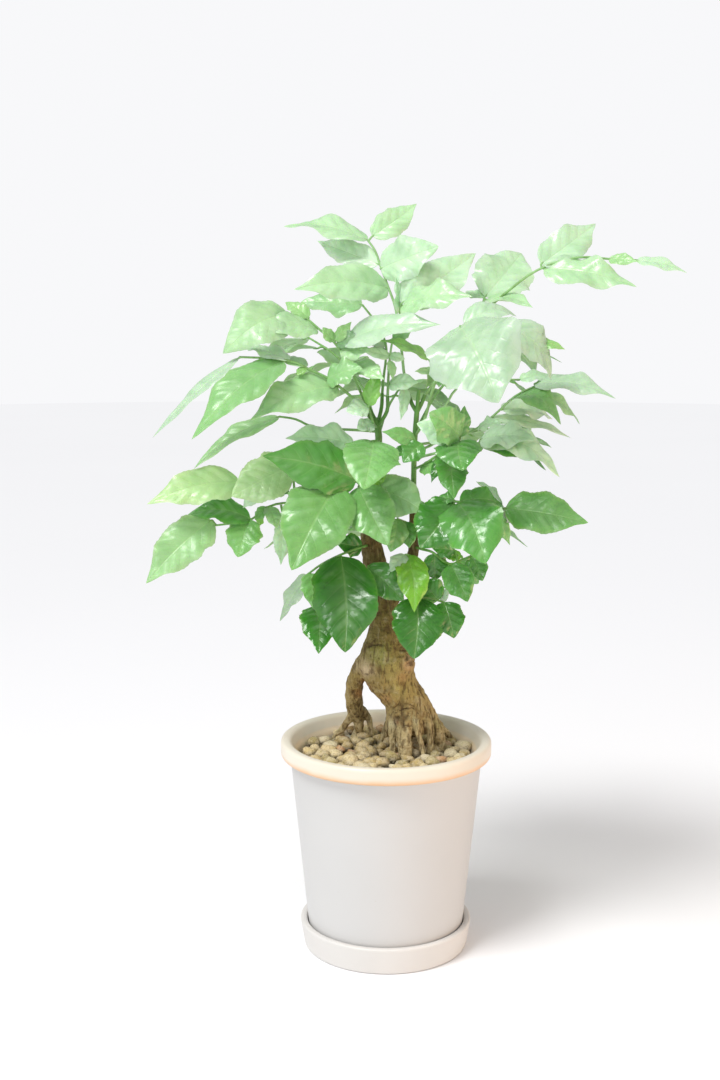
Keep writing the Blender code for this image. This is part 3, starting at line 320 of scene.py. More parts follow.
# Wood: rows of x, z, depth y and radius, from the top down
TRUNK = (
    (-8, 374, 2, 5.2), (-10, 350, 2, 6.0), (-12, 319, 1, 7.2), (-9, 300, 0, 8.6),
    (-6, 281, 0, 8.4), (-4, 265, 0, 9.2), (-2, 251, 0, 10.6), (-1.5, 243, 0, 13),
    (-1.2, 234, 0, 17), (-0.5, 224, 1, 20.5), (2.5, 213, 1, 19.8), (8.5, 202, 2, 16.2),
    (13.5, 194, 3, 15.5), (18.5, 185, 5, 16.2), (21, 175, 7, 14.5), (22, 168, 8, 12.5),
)
SIDE_LIMB = (
    (20, 352, -2, 4.2), (20.5, 330, 0, 3.8), (20, 306, 2, 4.0), (15, 290, 4, 4.2),
    (7, 274, 5, 5.0), (-1, 258, 3, 6.5),
)
ARCH_ROOT = (
    (-8, 224, 2, 12), (-16.5, 218, 6, 8.4), (-22.8, 208, 12, 6.5), (-24.4, 199, 20, 6.6),
    (-24, 190, 28, 6.6), (-22.2, 183, 34, 6.8),
)
ROOTS = (
    ((-22, 184, 34, 5.6), (-28, 177, 37, 3.0), (-33, 170, 40, 2.3), (-37, 166, 42, 2.1)),
    ((-21, 184, 34, 6), (-20.5, 174, 38, 3.8), (-20, 167, 42, 3.2), (-20, 162, 44, 2.8)),
    ((-19, 185, 33, 5), (-14, 178, 36, 2.5), (-12, 171, 37, 2.0), (-10, 164, 38, 1.8)),
    ((8, 190, 2, 8), (4.4, 182, -3, 5.2), (3.9, 174, -6, 4.0), (4.6, 164, -7, 3.1), (5, 152, -8, 2.5)),
    ((14, 186, 0, 9), (13.5, 174, -8, 6.6), (14, 162, -12, 5.8), (14.5, 150, -13.5, 5.2)),
    ((22, 186, 0, 7), (22.6, 176, -9, 3.2), (24.6, 165, -12, 2.3), (28.5, 151, -13, 2.0)),
    ((24, 188, 0, 6), (29.5, 182, -5, 3.0), (33, 175, -5, 2.4), (34, 165, -4, 2.3), (34, 154, -3, 2.3)),
    ((20, 196, 5, 8), (27, 189, 5, 7.0), (32.3, 181, 6, 5.8), (36.8, 172, 7, 5.1), (40, 163, 8, 4.6),
     (42, 153, 9, 4.2)),
    ((28, 184, 12, 7), (38, 174, 19, 3.4), (46, 166, 25, 2.6), (51.5, 160, 29, 2.2)),
    ((20, 184, 14, 9), (20, 172, 24, 5.4), (19, 163, 30, 4.2), (18, 159, 33, 3.6)),
    ((10, 186, 12, 8), (3, 174, 20, 4.4), (-1, 165, 25, 3.2), (-3, 160, 27, 2.7)),
)
KNOTS = (
    (7.5, 180, -7, 4.6), (22.5, 179.5, -8, 4.4), (9, 221, -5, 13), (-10.2, 208.5, -1, 3.2),
)

# Green stems: each is a list of shoots, the first one standing in the wood
STEMS = {
    "stem_left": (
        ((-8, 368, 2, 2.7), (-7, 380, 1, 2.7), (-6, 392, 0, 2.7), (-8.5, 406, -1, 2.6)),
        ((-8, 403, -1, 1.6), (-13, 413, -2, 1.5), (-18, 422, -3, 1.3)),
        ((-8, 401, -1, 1.5), (-16, 411, -8, 1.4), (-23, 419, -10, 1.3)),
        ((-7, 401, -1, 1.5), (-4, 414, 3, 1.4), (-3.5, 424, 5, 1.3)),
        ((-7, 400, -1, 1.5), (0, 411, -6, 1.4), (0.5, 422, -9, 1.3)),
    ),
    "stem_right": (
        ((20, 347, -2, 2.1), (20, 366, -4, 2.0), (20.5, 388, -5, 2.0), (22, 411, -7, 1.9)),
        ((22, 410, -7, 1.5), (18, 417, -7, 1.5), (16, 423, -7, 1.4)),
        ((22, 409, -7, 1.5), (22.6, 418, -9, 1.5), (23.4, 427, -10, 1.4)),
        ((22, 410, -7, 1.6), (25.5, 417, -7, 1.5), (28, 423, -7, 1.4)),
    ),
}

# Fronds. "ribs" are rows of x, z, y. "leaves" are rows of base x, z; tip x, z, y; width; turn;
# arch; tone. A turn of 0 shows the leaf's face squarely to the survey station and 90 shows its
# edge, face up.
FRONDS = {
    "frond_top": {
        "ribs": (
            ((16, 423, -7), (13, 435, -7), (10.5, 456, -5), (8, 471, -4), (6, 486, -2),
             (1, 500, 1), (-5, 516, 5), (-9, 527, 8), (-14, 534, 10)),
            ((8, 471, -4), (9, 480, -10), (10, 489, -14)),
        ),
        "leaves": (
            (-11, 537, 21, 560, 22, 21, 15, 0.08, "pale"),
            (-14, 534, -75, 544, 28, 26, 62, 0.10, "pale"),
            (-5, 514, 37, 530, -20, 32, 22, 0.06, "mint"),
            (-6, 517, -51, 534, 38, 21, 20, 0.06, "frost_painted_light"),
            (1, 500, -68, 499, -28, 30, 25, 0.08, "pale"),
            (10, 489, 64, 525, 8, 34, 15, 0.08, "mint"),
            (10, 487, 62, 494, -44, 29, 45, 0.10, "pale"),
            (9, 482, 6, 508, -14, 12, 50, 0.05, "mint"),
            (13, 430, 10, 404, -20, 9, 20, 0.05, "mint"),
        ),
    },
    "frond_upper_left": {
        "ribs": (
            ((-3.5, 424, 5), (-2.5, 436, 8), (-1, 448, 12), (-1, 460, 15), (-8, 475, 18),
             (-18, 488, 20)),
        ),
        "leaves": (
            (-18, 488, -63, 490, 26, 26, 44, 0.06, "fresh"),
            (-1, 459, -24, 463, 12, 11, 45, 0.08, "grey"),
            (-1, 454, -12, 457, 12, 8, 30, 0.05, "deep"),
        ),
    },
    "frond_centre_upper": {
        "ribs": (((0.5, 422, -9), (1, 436, -10), (2, 450, -11), (4, 464, -12)),),
        "leaves": (
            (4, 464, 18, 470, -14, 10, 10, 0.05, "fresh"),
            (2, 448, 4, 434, -16, 7, 20, 0.05, "pale"),
            (2, 451, -19, 456, -16, 9, 25, 0.05, "mint"),
            (2, 452, 13, 449, -14, 8, 25, 0.05, "mint"),
            (1, 430, 23, 432, -18, 14, 30, 0.08, "mint"),
        ),
    },
    "frond_right_top": {
        "ribs": (
            ((28, 423, -7), (36.5, 436, -8), (46, 455, -6), (66, 480, 1), (78, 490, 0),
             (90, 500, -4), (108.6, 513, -8), (137.5, 522, -12), (160, 521, -14),
             (180, 520, -16)),
            ((36.5, 436, -8), (33, 444, -10), (30.5, 449, -12)),
            ((66, 480, 1), (69.5, 489, 6), (70.5, 494, 9)),
        ),
        "leaves": (
            (71, 494, 97, 525, 46, 43, 12, 0.06, "mint"),
            (72, 492, 106, 486, -20, 18, 60, 0.10, "pale"),
            (70, 493, 57, 498, 24, 14, 58, 0.05, "mint"),
            (111, 517, 150, 546, 14, 28, 15, 0.08, "mint"),
            (113, 514, 181, 501, -30, 29, 42, 0.08, "pale"),
            (160, 521, 182, 519, -26, 10, 35, 0.05, "lime"),
            (180, 520, 217, 511, -24, 13, 52, 0.10, "mint"),
            (30.5, 449, -8, 463, -22, 11, 48, 0.14, "lime"),
            (35, 439, 20, 440, -16, 7, 30, 0.05, "pale"),
            (37, 436, 58, 430, -24, 18, 35, 0.10, "fresh"),
        ),
    },
    "frond_right_front": {
        "ribs": (
            ((21, 393, -5.5), (27, 403, -14), (33, 425, -24), (38, 440, -32), (45, 458, -43),
             (53, 472, -54), (66, 476, -48), (79, 474, -42), (95, 467, -38), (108, 461, -36)),
        ),
        "leaves": (
            (53, 473, 82, 417, -112, 66, 0, 0.12, "silver_sheen"),
            (56, 474, 94, 480, -34, 24, 55, 0.20, "silver_sheen"),
            (80, 474, 120, 434, -36, 32, 52, 0.22, "silver_sheen"),
            (108, 461, 130, 456, -36, 10, 45, 0.10, "lime"),
        ),
    },
    "frond_right_inner": {
        "ribs": (
            ((21.5, 400, -6), (32, 404, -9), (42, 414, -10), (51.5, 428, -9), (64, 433, -5),
             (97, 434, 4)),
        ),
        "leaves": ((97, 434, 120, 437, 8, 14, 55, 0.10, "mint"),),
    },
    "frond_right_mid": {
        "ribs": (
            ((20.6, 386, -5), (34, 388, 0), (50, 391, 5), (66.6, 398.5, 8), (82, 411, 6),
             (94, 422, 4), (110, 430, 0)),
        ),
        "leaves": (
            (108, 431, 168, 420, -22, 24, 54, 0.10, "silver_sheen"),
            (89, 418, 128, 401, -22, 26, 55, 0.28, "fresh"),
            (100, 425, 142, 401, 24, 16, 58, 0.15, "pale"),
            (84, 412, 122, 405, 30, 22, 60, 0.10, "frost_painted_light"),
            (76, 406, 136, 391, 16, 16, 60, 0.08, "frost_painted_light"),
            (67, 399, 84, 402, -4, 14, 50, 0.10, "mint"),
        ),
    },
    "frond_right_k": {
        "ribs": (((20.3, 376, -4.5), (36, 380, -12), (52, 384, -15), (69, 388, -14)),),
        "leaves": (
            (69, 390, 109, 390, -32, 28, 50, 0.12, "mint"),
            (69, 388, 128, 362, -24, 29, 50, 0.20, "mint"),
            (68, 386, 118, 367, 0, 24, 62, 0.12, "mid"),
        ),
    },
    "frond_centre_right": {
        "ribs": (((20.1, 368, -4), (28, 372, -18), (38, 379, -30), (52, 389, -42)),),
        "leaves": (
            (50, 391, 22, 402, -48, 23, 30, 0.08, "mint"),
            (54, 391, 31, 410, -60, 29, 25, 0.10, "fresh"),
            (54, 392, 57, 415, -40, 13, 30, 0.05, "mid"),
            (53, 389, 56, 367, -78, 33, 5, 0.08, "mid"),
            (47, 383, 50, 346, -64, 24, 12, 0.08, "mid"),
            (26, 371, 42, 365, -34, 14, 22, 0.10, "fresh"),
            (41, 378, 33, 358, -40, 9, 20, 0.05, "deep"),
        ),
    },
    "sprig_centre": {
        "ribs": (((20.6, 391, -5), (21, 388, -15), (26, 387, -19)),),
        "leaves": (
            (21, 388, -4, 396, -24, 13, 22, 0.08, "fresh"),
            (26, 387, 12, 373, -28, 17, 15, 0.05, "mid"),
            (21, 387, 2, 374, -22, 9, 30, 0.05, "mid"),
        ),
    },
    "frond_left_upper": {
        "ribs": (
            ((-18, 422, -3), (-23, 433, -5), (-28, 445, -7), (-38.5, 461, -10), (-50, 471, -10),
             (-60, 479, -8), (-71, 482, -6)),
        ),
        "leaves": (
            (-71, 481, -120, 453, -30, 36, 22, 0.24, "pale"),
            (-51, 471, -91, 468, -30, 26, 48, 0.10, "pale"),
            (-57, 479, -74, 490, 2, 13, 30, 0.10, "lime"),
            (-39, 462, -47, 472, -12, 9, 20, 0.05, "lime"),
            (-38, 462, -26, 476, -8, 10, 28, 0.05, "lime"),
            (-37, 460, -18, 466, -16, 13, 30, 0.05, "deep"),
            (-34, 456, -12, 455, -23, 17, 34, 0.06, "pale"),
            (-32, 461, 39, 474, -42, 28, 46, 0.08, "silver_sheen"),
            (-27, 444, -2, 434, -31, 18, 36, 0.08, "pale"),
        ),
    },
    "frond_left_long": {
        "ribs": (
            ((-23, 419, -10), (-35, 429, -15), (-45, 436, -18), (-56, 441, -21), (-66, 446, -23),
             (-80, 449, -25), (-108, 450.5, -26)),
        ),
        "leaves": (
            (-108, 450, -173, 391, -42, 16, 62, 0.05, "silver_sheen"),
            (-76, 448, -144, 390, -64, 34, 42, 0.13, "fresh"),
            (-36, 429, -101, 404, -54, 32, 35, 0.08, "pale"),
            (-60, 443, -87, 453, 4, 20, 70, 0.05, "pale"),
            (-60, 443, -66, 437, -26, 7, 30, 0.05, "lime"),
            (-44, 435, -18, 442, -30, 23, 38, 0.08, "fresh"),
            (-72, 448, -105, 459, -4, 22, 65, 0.05, "mint"),
        ),
    },
    "frond_left_wavy": {
        "ribs": (
            ((-6.5, 396, 0), (-20, 397, 3), (-40, 398, 6), (-56, 400, 5), (-67, 405, 2),
             (-79, 407, -1)),
        ),
        "leaves": ((-79, 407, -143, 368, -18, 18, 50, 0.08, "pale"),),
    },
    "frond_centre_left": {
        "ribs": (((-6.5, 387, 0.5), (-8, 389, -13), (-16, 388, -14), (-24, 386, -13)),),
        "leaves": (
            (-10, 389, -17, 353, -68, 41, 0, 0.08, "fresh"),
            (-13, 388, -22, 384, -20, 8, 25, 0.05, "lime"),
            (-24, 386, -75, 391, -12, 28, 44, 0.08, "mint"),
        ),
    },
    "sprig_left": {
        "ribs": (((-7.5, 399, -0.5), (-10, 402, -12), (-12, 409, -17), (-14, 415, -19)),),
        "leaves": (
            (-10, 402, -22, 398, -22, 13, 28, 0.05, "mint"),
            (-14, 414, -30, 411, -26, 16, 32, 0.08, "mint"),
            (-13, 415, -5, 440, -19, 13, 22, 0.08, "lime"),
        ),
    },
    "frond_left_broad": {
        "ribs": (
            ((-10.5, 350, 1), (-12, 352, -12), (-16, 356, -17), (-22, 359, -22), (-30, 358, -25),
             (-38, 354, -26), (-55, 352, -19), (-75, 351, -13), (-108, 358, -13)),
        ),
        "leaves": (
            (-22, 360, -92, 378, -48, 37, 12, 0.05, "mid"),
            (-36, 356, -71, 292, -80, 50, 6, 0.08, "fresh"),
            (-21, 355, 1, 311, -56, 36, 5, 0.08, "fresh"),
            (-12, 355, 28, 336, -28, 32, 22, 0.05, "pale"),
            (-12, 356, 1, 366, -20, 9, 20, 0.05, "lime"),
            (-108, 358, -178, 342, -32, 30, 26, 0.08, "lemon"),
            (-70, 371, -115, 348, -28, 35, 14, 0.05, "lemon"),
            (-73, 350, -96, 349, -2, 17, 70, 0.10, "mid"),
            (-93, 353, -107, 339, -12, 10, 20, 0.10, "mint"),
        ),
    },
    "frond_left_low": {
        "ribs": (
            ((-12, 325, 1), (-24, 331, 11), (-40, 337, 13), (-70, 343, 7), (-88, 340, 0),
             (-100, 331, -6), (-128, 326, -12)),
        ),
        "leaves": (
            (-101, 331, -148, 334, -14, 24, 38, 0.14, "mid"),
            (-103, 331, -111, 302, -24, 26, 10, 0.08, "fresh"),
            (-130, 330, -180, 282, -36, 33, 12, 0.10, "pale"),
            (-88, 340, -82, 324, -12, 13, 20, 0.10, "pale"),
            (-89, 340, -98, 330, -8, 9, 20, 0.05, "fresh"),
            (-92, 336, -96, 325, 4, 8, 40, 0.05, "lime"),
            (-77, 330, -79, 296, -4, 14, 12, 0.05, "mint"),
        ),
    },
    "frond_left_drop": {
        "ribs": (
            ((-12.5, 311, 1), (-18, 310, -12), (-34, 304, -25), (-48, 297, -21), (-59, 289, -15)),
        ),
        "leaves": (
            (-34, 303, -31, 229, -58, 48, 5, 0.08, "deep"),
            (-49, 265, -51, 228, -62, 29, 0, 0.10, "deep"),
            (-57, 290, -54, 262, -34, 18, 12, 0.08, "fresh"),
            (-59, 289, -80, 253, -18, 18, 50, 0.06, "grey"),
            (-18, 310, -37, 313, -18, 17, 15, 0.06, "deep"),
        ),
    },
    "frond_right_low": {
        "ribs": (
            ((20.4, 332, 0), (27, 335, -14), (38, 340, -27), (51, 344, -38), (66, 341, -32),
             (80, 338, -26), (88, 339, -24)),
        ),
        "leaves": (
            (50, 343, 25, 309, -62, 38, 8, 0.08, "deep"),
            (53, 343, 74, 297, -78, 44, 8, 0.10, "mid"),
            (54, 344, 87, 340, -24, 24, 48, 0.16, "mid"),
            (86, 340, 66, 359, -10, 16, 112, 0.10, "mint"),
            (50, 345, 38, 347, -34, 12, 45, 0.10, "mid"),
            (88, 339, 150, 328, -42, 32, 20, 0.06, "fresh"),
            (85, 338, 96, 327, -18, 10, 40, 0.05, "grey"),
            (82, 337, 92, 311, -20, 10, 20, 0.05, "fresh"),
        ),
    },
    "sprig_right": {
        "ribs": (
            ((20.2, 310, 2), (27, 308, -9), (34, 306, -14), (47, 297, -18), (56, 300, -13),
             (63, 303, -9)),
        ),
        "leaves": (
            (36, 305, 37, 285, -10, 19, 5, 0.08, "deep"),
            (48, 297, 61, 268, -34, 23, 8, 0.08, "mid"),
            (54, 299, 69, 282, -4, 18, 18, 0.05, "mid"),
            (51, 307, 34, 309, -20, 14, 10, 0.10, "deep"),
            (56, 303, 43, 303, -12, 9, 20, 0.05, "lime"),
            (63, 303, 72, 284, -20, 16, 10, 0.05, "mid"),
        ),
    },
    "frond_right_drop": {
        "ribs": (
            ((-5, 281, 0), (6, 281, -13), (14, 278, -18), (23, 272, -22), (32, 271, -19),
             (42, 268, -17)),
        ),
        "leaves": (
            (23, 271, 21, 224, -46, 38, 5, 0.10, "deep"),
            (39, 269, 25, 285, -12, 22, 10, 0.08, "mid"),
            (43, 268, 51, 240, -30, 24, 18, 0.10, "deep"),
            (42, 268, 46, 279, -14, 7, 20, 0.05, "grey"),
        ),
    },
    "leaf_trunk": {
        "ribs": (((-8, 296, 0), (-10, 297, -12), (-14, 295, -15)),),
        "leaves": ((-14, 295, 13, 269, -27, 25, 5, 0.04, "mid"),),
    },
    "leaf_lime": {
        "ribs": (((19.6, 302, 2), (18, 303, -8), (15, 304, -13)),),
        "leaves": (
            (16, 304, 21, 260, -40, 24, 5, 0.10, "lime"),
            (14, 304, 3, 291, -26, 12, 20, 0.05, "mint"),
        ),
    },
    "sprig_middle": {
        "ribs": (((20.4, 324, 0.5), (15, 328, -9), (8, 331, -14)),),
        "leaves": (
            (8, 331, 3, 306, -24, 18, 8, 0.08, "fresh"),
            (14, 329, 17, 309, -20, 14, 8, 0.05, "mid"),
        ),
    },
}

# Fronds of the far side: rib rows, leaflet length, width and seed. Their leaflets are set out in
# pairs by a rule.
FAR_FRONDS = {
    "far_frond_1": (
        ((-7, 398, 0), (-18, 428, 40), (-38, 452, 78), (-58, 465, 108)), 66, 31, 3),
    "far_frond_2": (
        ((-6.4, 392, 0), (0, 412, 36), (8, 426, 72), (12, 432, 100)), 64, 30, 5),
    "far_frond_3": (
        ((21, 396, -5.5), (38, 426, 30), (62, 450, 66), (80, 462, 96)), 66, 30, 8),
    "far_frond_4": (
        ((20.4, 380, -4.5), (42, 390, 36), (64, 396, 74), (80, 402, 104)), 58, 29, 2),
    "far_frond_5": (
        ((-10.5, 356, 2), (-26, 366, 36), (-46, 372, 74), (-60, 376, 104)), 66, 32, 4),
    "far_frond_6": (
        ((-11, 318, 1), (-20, 322, 40), (-38, 322, 74), (-54, 317, 96)), 56, 28, 9),
    "far_frond_7": (
        ((20.4, 338, 0), (36, 334, 36), (50, 330, 68), (60, 326, 92)), 56, 29, 6),
    "far_frond_8": (
        ((-11, 338, 1), (-8, 345, 44), (-6, 350, 82), (-6, 351, 108)), 60, 30, 7),
}


def sight(x, z, y):
    """The point at depth y on the sight line through (x, z), all in millimetres."""
    noted = Vector((x * MM, 0.0, z * MM))
    reach = (y * MM - STATION.y) / -STATION.y
    return STATION + (noted - STATION) * reach


def ease(value, low, high):
    """0 below low, 1 above high, and smooth between."""
    share = max(0.0, min(1.0, (value - low) / (high - low)))
    return share * share * (3 - 2 * share)


def new_object(name, mesh):
    item = bpy.data.objects.new(name, mesh)
    bpy.context.scene.collection.objects.link(item)
    return item


def finish_mesh(bm, name, materials):
    """A piece from a bmesh, smooth shaded, with its materials."""
    mesh = bpy.data.meshes.new(name)
    bm.to_mesh(mesh)
    bm.free()
    for made in materials:
        mesh.materials.append(made)
    mesh.shade_smooth()
    return new_object(name, mesh)


def stand_for(piece, node):
    """The piece takes the place of a CAD node: it hangs under the root body, and the node is hidden."""
    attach(piece, "root")
    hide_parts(node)


def evaluated(item):
    graph = bpy.context.evaluated_depsgraph_get()
    graph.update()
    return bpy.data.meshes.new_from_object(item.evaluated_get(graph))


def tube_mesh(name, runs, sides, steps):
    """One mesh of smooth capped tubes, each given as its points and their radii."""
    curve = bpy.data.curves.new(name, "CURVE")
    curve.dimensions = "3D"
    curve.bevel_depth = 1.0
    curve.bevel_resolution = sides // 2 - 2
    curve.resolution_u = steps
    curve.use_fill_caps = True
    for places, radii in runs:
        spline = curve.splines.new("BEZIER")
        spline.bezier_points.add(len(places) - 1)
        for knot, place, radius in zip(spline.bezier_points, places, radii):
            knot.co = place
            knot.radius = radius
            knot.handle_left_type = "AUTO"
            knot.handle_right_type = "AUTO"
    wire = new_object(name, curve)
    mesh = evaluated(wire)
    bpy.data.objects.remove(wire)
    bpy.data.curves.remove(curve)
    return mesh


def turned(name, profile, materials):
    """A body turned about the Z axis from a closed or axis-to-axis profile."""
    bm = bmesh.new()
    points = [bm.verts.new((radius, 0.0, height)) for radius, height in profile]
    edges = [bm.edges.new(pair) for pair in zip(points, points[1:])]
    if profile[0][0] > 0.0:
        edges.append(bm.edges.new((points[-1], points[0])))
    bmesh.ops.spin(
        bm, geom=points + edges, cent=(0, 0, 0), axis=(0, 0, 1), angle=2 * math.pi,
        steps=TURN_STEPS, use_merge=True)
    bmesh.ops.remove_doubles(bm, verts=bm.verts, dist=0.00001)
    bmesh.ops.recalc_face_normals(bm, faces=bm.faces)
    return finish_mesh(bm, name, materials)


def rounded(points, radius, steps):
    """A profile with each of its inner corners turned into an arc of the given radius."""
    smooth = [points[0]]
    for before, corner, after in zip(points, points[1:], points[2:]):
        corner = Vector(corner)
        back = Vector(before) - corner
        ahead = Vector(after) - corner
        reach = min(radius, back.length * 0.45, ahead.length * 0.45)
        start = corner + back.normalized() * reach
        end = corner + ahead.normalized() * reach
        for step in range(steps + 1):
            share = step / steps
            first = start.lerp(corner, share)
            second = corner.lerp(end, share)
            smooth.append(tuple(first.lerp(second, share)))
    smooth.append(points[-1])
    return smooth


# Finishes

def new_material(name, roughness=0.5):
    made = bpy.data.materials.new(name)
    made.use_nodes = True
    shader = made.node_tree.nodes["Principled BSDF"]
    shader.inputs["Roughness"].default_value = roughness
    return made, made.node_tree, shader


def node(tree, kind, inputs=(), **settings):
    """A shader node with its settings, and its inputs given as (socket, value or link)."""
    made = tree.nodes.new(kind)
    for key, value in settings.items():
        setattr(made, key, value)
    for socket, value in inputs:
        if isinstance(value, bpy.types.NodeSocket):
            tree.links.new(value, made.inputs[socket])
        else:
            made.inputs[socket].default_value = value
    return made


def maths(tree, operation, first, second=0.0):
    made = node(tree, "ShaderNodeMath", ((0, first), (1, second)), operation=operation)
    return made.outputs[0]


def times(tree, first, second):
    return maths(tree, "MULTIPLY", first, second)


def ramp(tree, value, low, high, out_low=0.0, out_high=1.0):
    inputs = (("Value", value), ("From Min", low), ("From Max", high),
              ("To Min", out_low), ("To Max", out_high))
    made = node(tree, "ShaderNodeMapRange", inputs, interpolation_type="SMOOTHSTEP")
    return made.outputs["Result"]


def mix(tree, share, first, second, blend="MIX"):
    made = node(tree, "ShaderNodeMix", (), data_type="RGBA", blend_type=blend)
    for socket, value in ((0, share), (6, first), (7, second)):
        if isinstance(value, bpy.types.NodeSocket):
            tree.links.new(value, made.inputs[socket])
        elif socket == 0:
            made.inputs[socket].default_value = value
        else:
            made.inputs[socket].default_value = (*value, 1.0)
    return made.outputs[2]


def shaded(tree, colour, shade):
    """A colour multiplied by a shade."""
    return mix(tree, 1.0, colour, shade, "MULTIPLY")


def new_group(name, inputs, outputs):
    """A node group with its named sockets, and the sockets to build between."""
    group = bpy.data.node_groups.new(name, "ShaderNodeTree")
    for title, kind in inputs:
        group.interface.new_socket(title, in_out="INPUT", socket_type=kind)
    for title in outputs:
        group.interface.new_socket(title, in_out="OUTPUT", socket_type="NodeSocketFloat")
    given = group.nodes.new("NodeGroupInput").outputs
    put_out = group.nodes.new("NodeGroupOutput").inputs
    return group, given, put_out


def make_grain_group():
    """Grain for every finish: noise over the piece's own coordinates."""
    sockets = (("Scale", "NodeSocketFloat"), ("Detail", "NodeSocketFloat"),
               ("Stretch", "NodeSocketVector"))
    group, given, put_out = new_group("surface_grain", sockets, ("Grain",))
    where = node(group, "ShaderNodeTexCoord").outputs["Object"]
    placed = node(group, "ShaderNodeMapping", (("Vector", where), ("Scale", given["Stretch"])))
    inputs = (("Vector", placed.outputs[0]), ("Scale", given["Scale"]), ("Detail", given["Detail"]))
    grain = node(group, "ShaderNodeTexNoise", inputs).outputs["Fac"]
    group.links.new(grain, put_out["Grain"])
    return group


def make_vein_group():
    """Veins for both leaf skins, and the puffed skin between them, from the blade's own map. The puff
    places the painted sheen.
    """
    sockets = (("Blade", "NodeSocketVector"),)
    group, given, put_out = new_group("leaf_veins", sockets, ("Veins", "Puff"))
    split = node(group, "ShaderNodeSeparateXYZ", (("Vector", given["Blade"]),))
    spread = maths(group, "ABSOLUTE", split.outputs["X"])
    near_vein = maths(group, "PINGPONG", split.outputs["Y"], 0.5)
    fade = ramp(group, spread, 0.55, 1.0, 1.0, 0.0)
    side_vein = times(group, ramp(group, near_vein, *SIDE_VEIN_EDGE, 1.0, 0.0), fade)
    midrib = ramp(group, spread, *MIDRIB_EDGE, 1.0, 0.0)
    veins = maths(group, "MAXIMUM", midrib, times(group, side_vein, SIDE_VEIN_SHARE))
    group.links.new(veins, put_out["Veins"])
    puff = times(group, ramp(group, near_vein, 0.12, 0.42), fade)
    group.links.new(puff, put_out["Puff"])
    return group


GRAIN_GROUP = make_grain_group()
VEIN_GROUP = make_vein_group()


def grain_of(tree, kind):
    """One of the named grains, as a value from 0 to 1."""
    scale, detail, stretch = GRAINS[kind]
    inputs = (("Scale", scale), ("Detail", detail), ("Stretch", stretch))
    return node(tree, "ShaderNodeGroup", inputs, node_tree=GRAIN_GROUP).outputs["Grain"]


def own_tone(tree):
    """The tone that each point of a piece carries."""
    return node(tree, "ShaderNodeAttribute", attribute_name="tone").outputs["Color"]


def bump(tree, height, strength, distance, shader):
    inputs = (("Height", height), ("Strength", strength), ("Distance", distance))
    made = node(tree, "ShaderNodeBump", inputs)
    tree.links.new(made.outputs["Normal"], shader.inputs["Normal"])


def coat(tree, shader, colour, roughness=None):
    """Colour, and roughness where it changes over the surface."""
    tree.links.new(colour, shader.inputs["Base Color"])
    if roughness is not None:
        tree.links.new(roughness, shader.inputs["Roughness"])


def leaf_material(name, upper):
    """Waxy leaf skin: the tone of each leaf, lighter veins sunk in the upper side, and painted sheen on
    the skin between the veins.
    """
    made, tree, shader = new_material(name)
    tone = own_tone(tree)
    blade = node(tree, "ShaderNodeUVMap", uv_map="blade").outputs["UV"]
    pattern = node(tree, "ShaderNodeGroup", (("Blade", blade),), node_tree=VEIN_GROUP).outputs
    veins = pattern["Veins"]
    mottle = grain_of(tree, "leaf_mottle")
    if upper:
        light = mix(tree, 0.35, tone, VEIN_GREEN)
        dark = shaded(tree, tone, (0.80, 0.86, 0.80))
        vein_share, sheen_share, gloss, shine, sunk = 0.28, 0.13, UPPER_ROUGHNESS, 0.55, -1.0
    else:
        tone = mix(tree, 0.45, tone, UNDERSIDE_GREEN)
        light = mix(tree, 0.5, tone, UNDERSIDE_VEIN_GREEN)
        dark = shaded(tree, tone, (0.86, 0.90, 0.86))
        vein_share, sheen_share, gloss, shine, sunk = 0.7, 0.06, UNDER_ROUGHNESS, 0.22, 0.8
    body = mix(tree, ramp(tree, mottle, 0.35, 0.70), tone, dark)
    # Painted sheen: pale patches on the puffed skin between the veins
    patch = ramp(tree, grain_of(tree, "leaf_sheen_patch"), 0.46, 0.66)
    painted_sheen = times(tree, times(tree, pattern["Puff"], patch), sheen_share)
    body = mix(tree, painted_sheen, body, PAINTED_SHEEN_GREEN)
    colour = mix(tree, times(tree, veins, vein_share), body, light)
    pallor = node(tree, "ShaderNodeRGBToBW", (("Color", tone),)).outputs["Val"]
    dull = ramp(tree, pallor, 0.12, 0.45, 0.0, PALE_DULLING)
    coat(tree, shader, colour, maths(tree, "ADD", ramp(tree, mottle, 0.3, 0.7, *gloss), dull))
    shader.inputs["Specular IOR Level"].default_value = shine
    shader.inputs["Subsurface Weight"].default_value = 0.22
    shader.inputs["Subsurface Radius"].default_value = (0.5, 1.0, 0.25)
    shader.inputs["Subsurface Scale"].default_value = 0.0022
    bump(tree, times(tree, veins, sunk), 0.4, 0.0005, shader)
    return made


def stalk_material():
    made, tree, shader = new_material("green_stalk", 0.42)
    tone = own_tone(tree)
    streak = grain_of(tree, "stalk_streak")
    coat(tree, shader, mix(tree, ramp(tree, streak, 0.40, 0.75), tone, shaded(tree, tone, STREAK_SHADE)))
    bump(tree, streak, 0.3, 0.0004, shader)
    return made


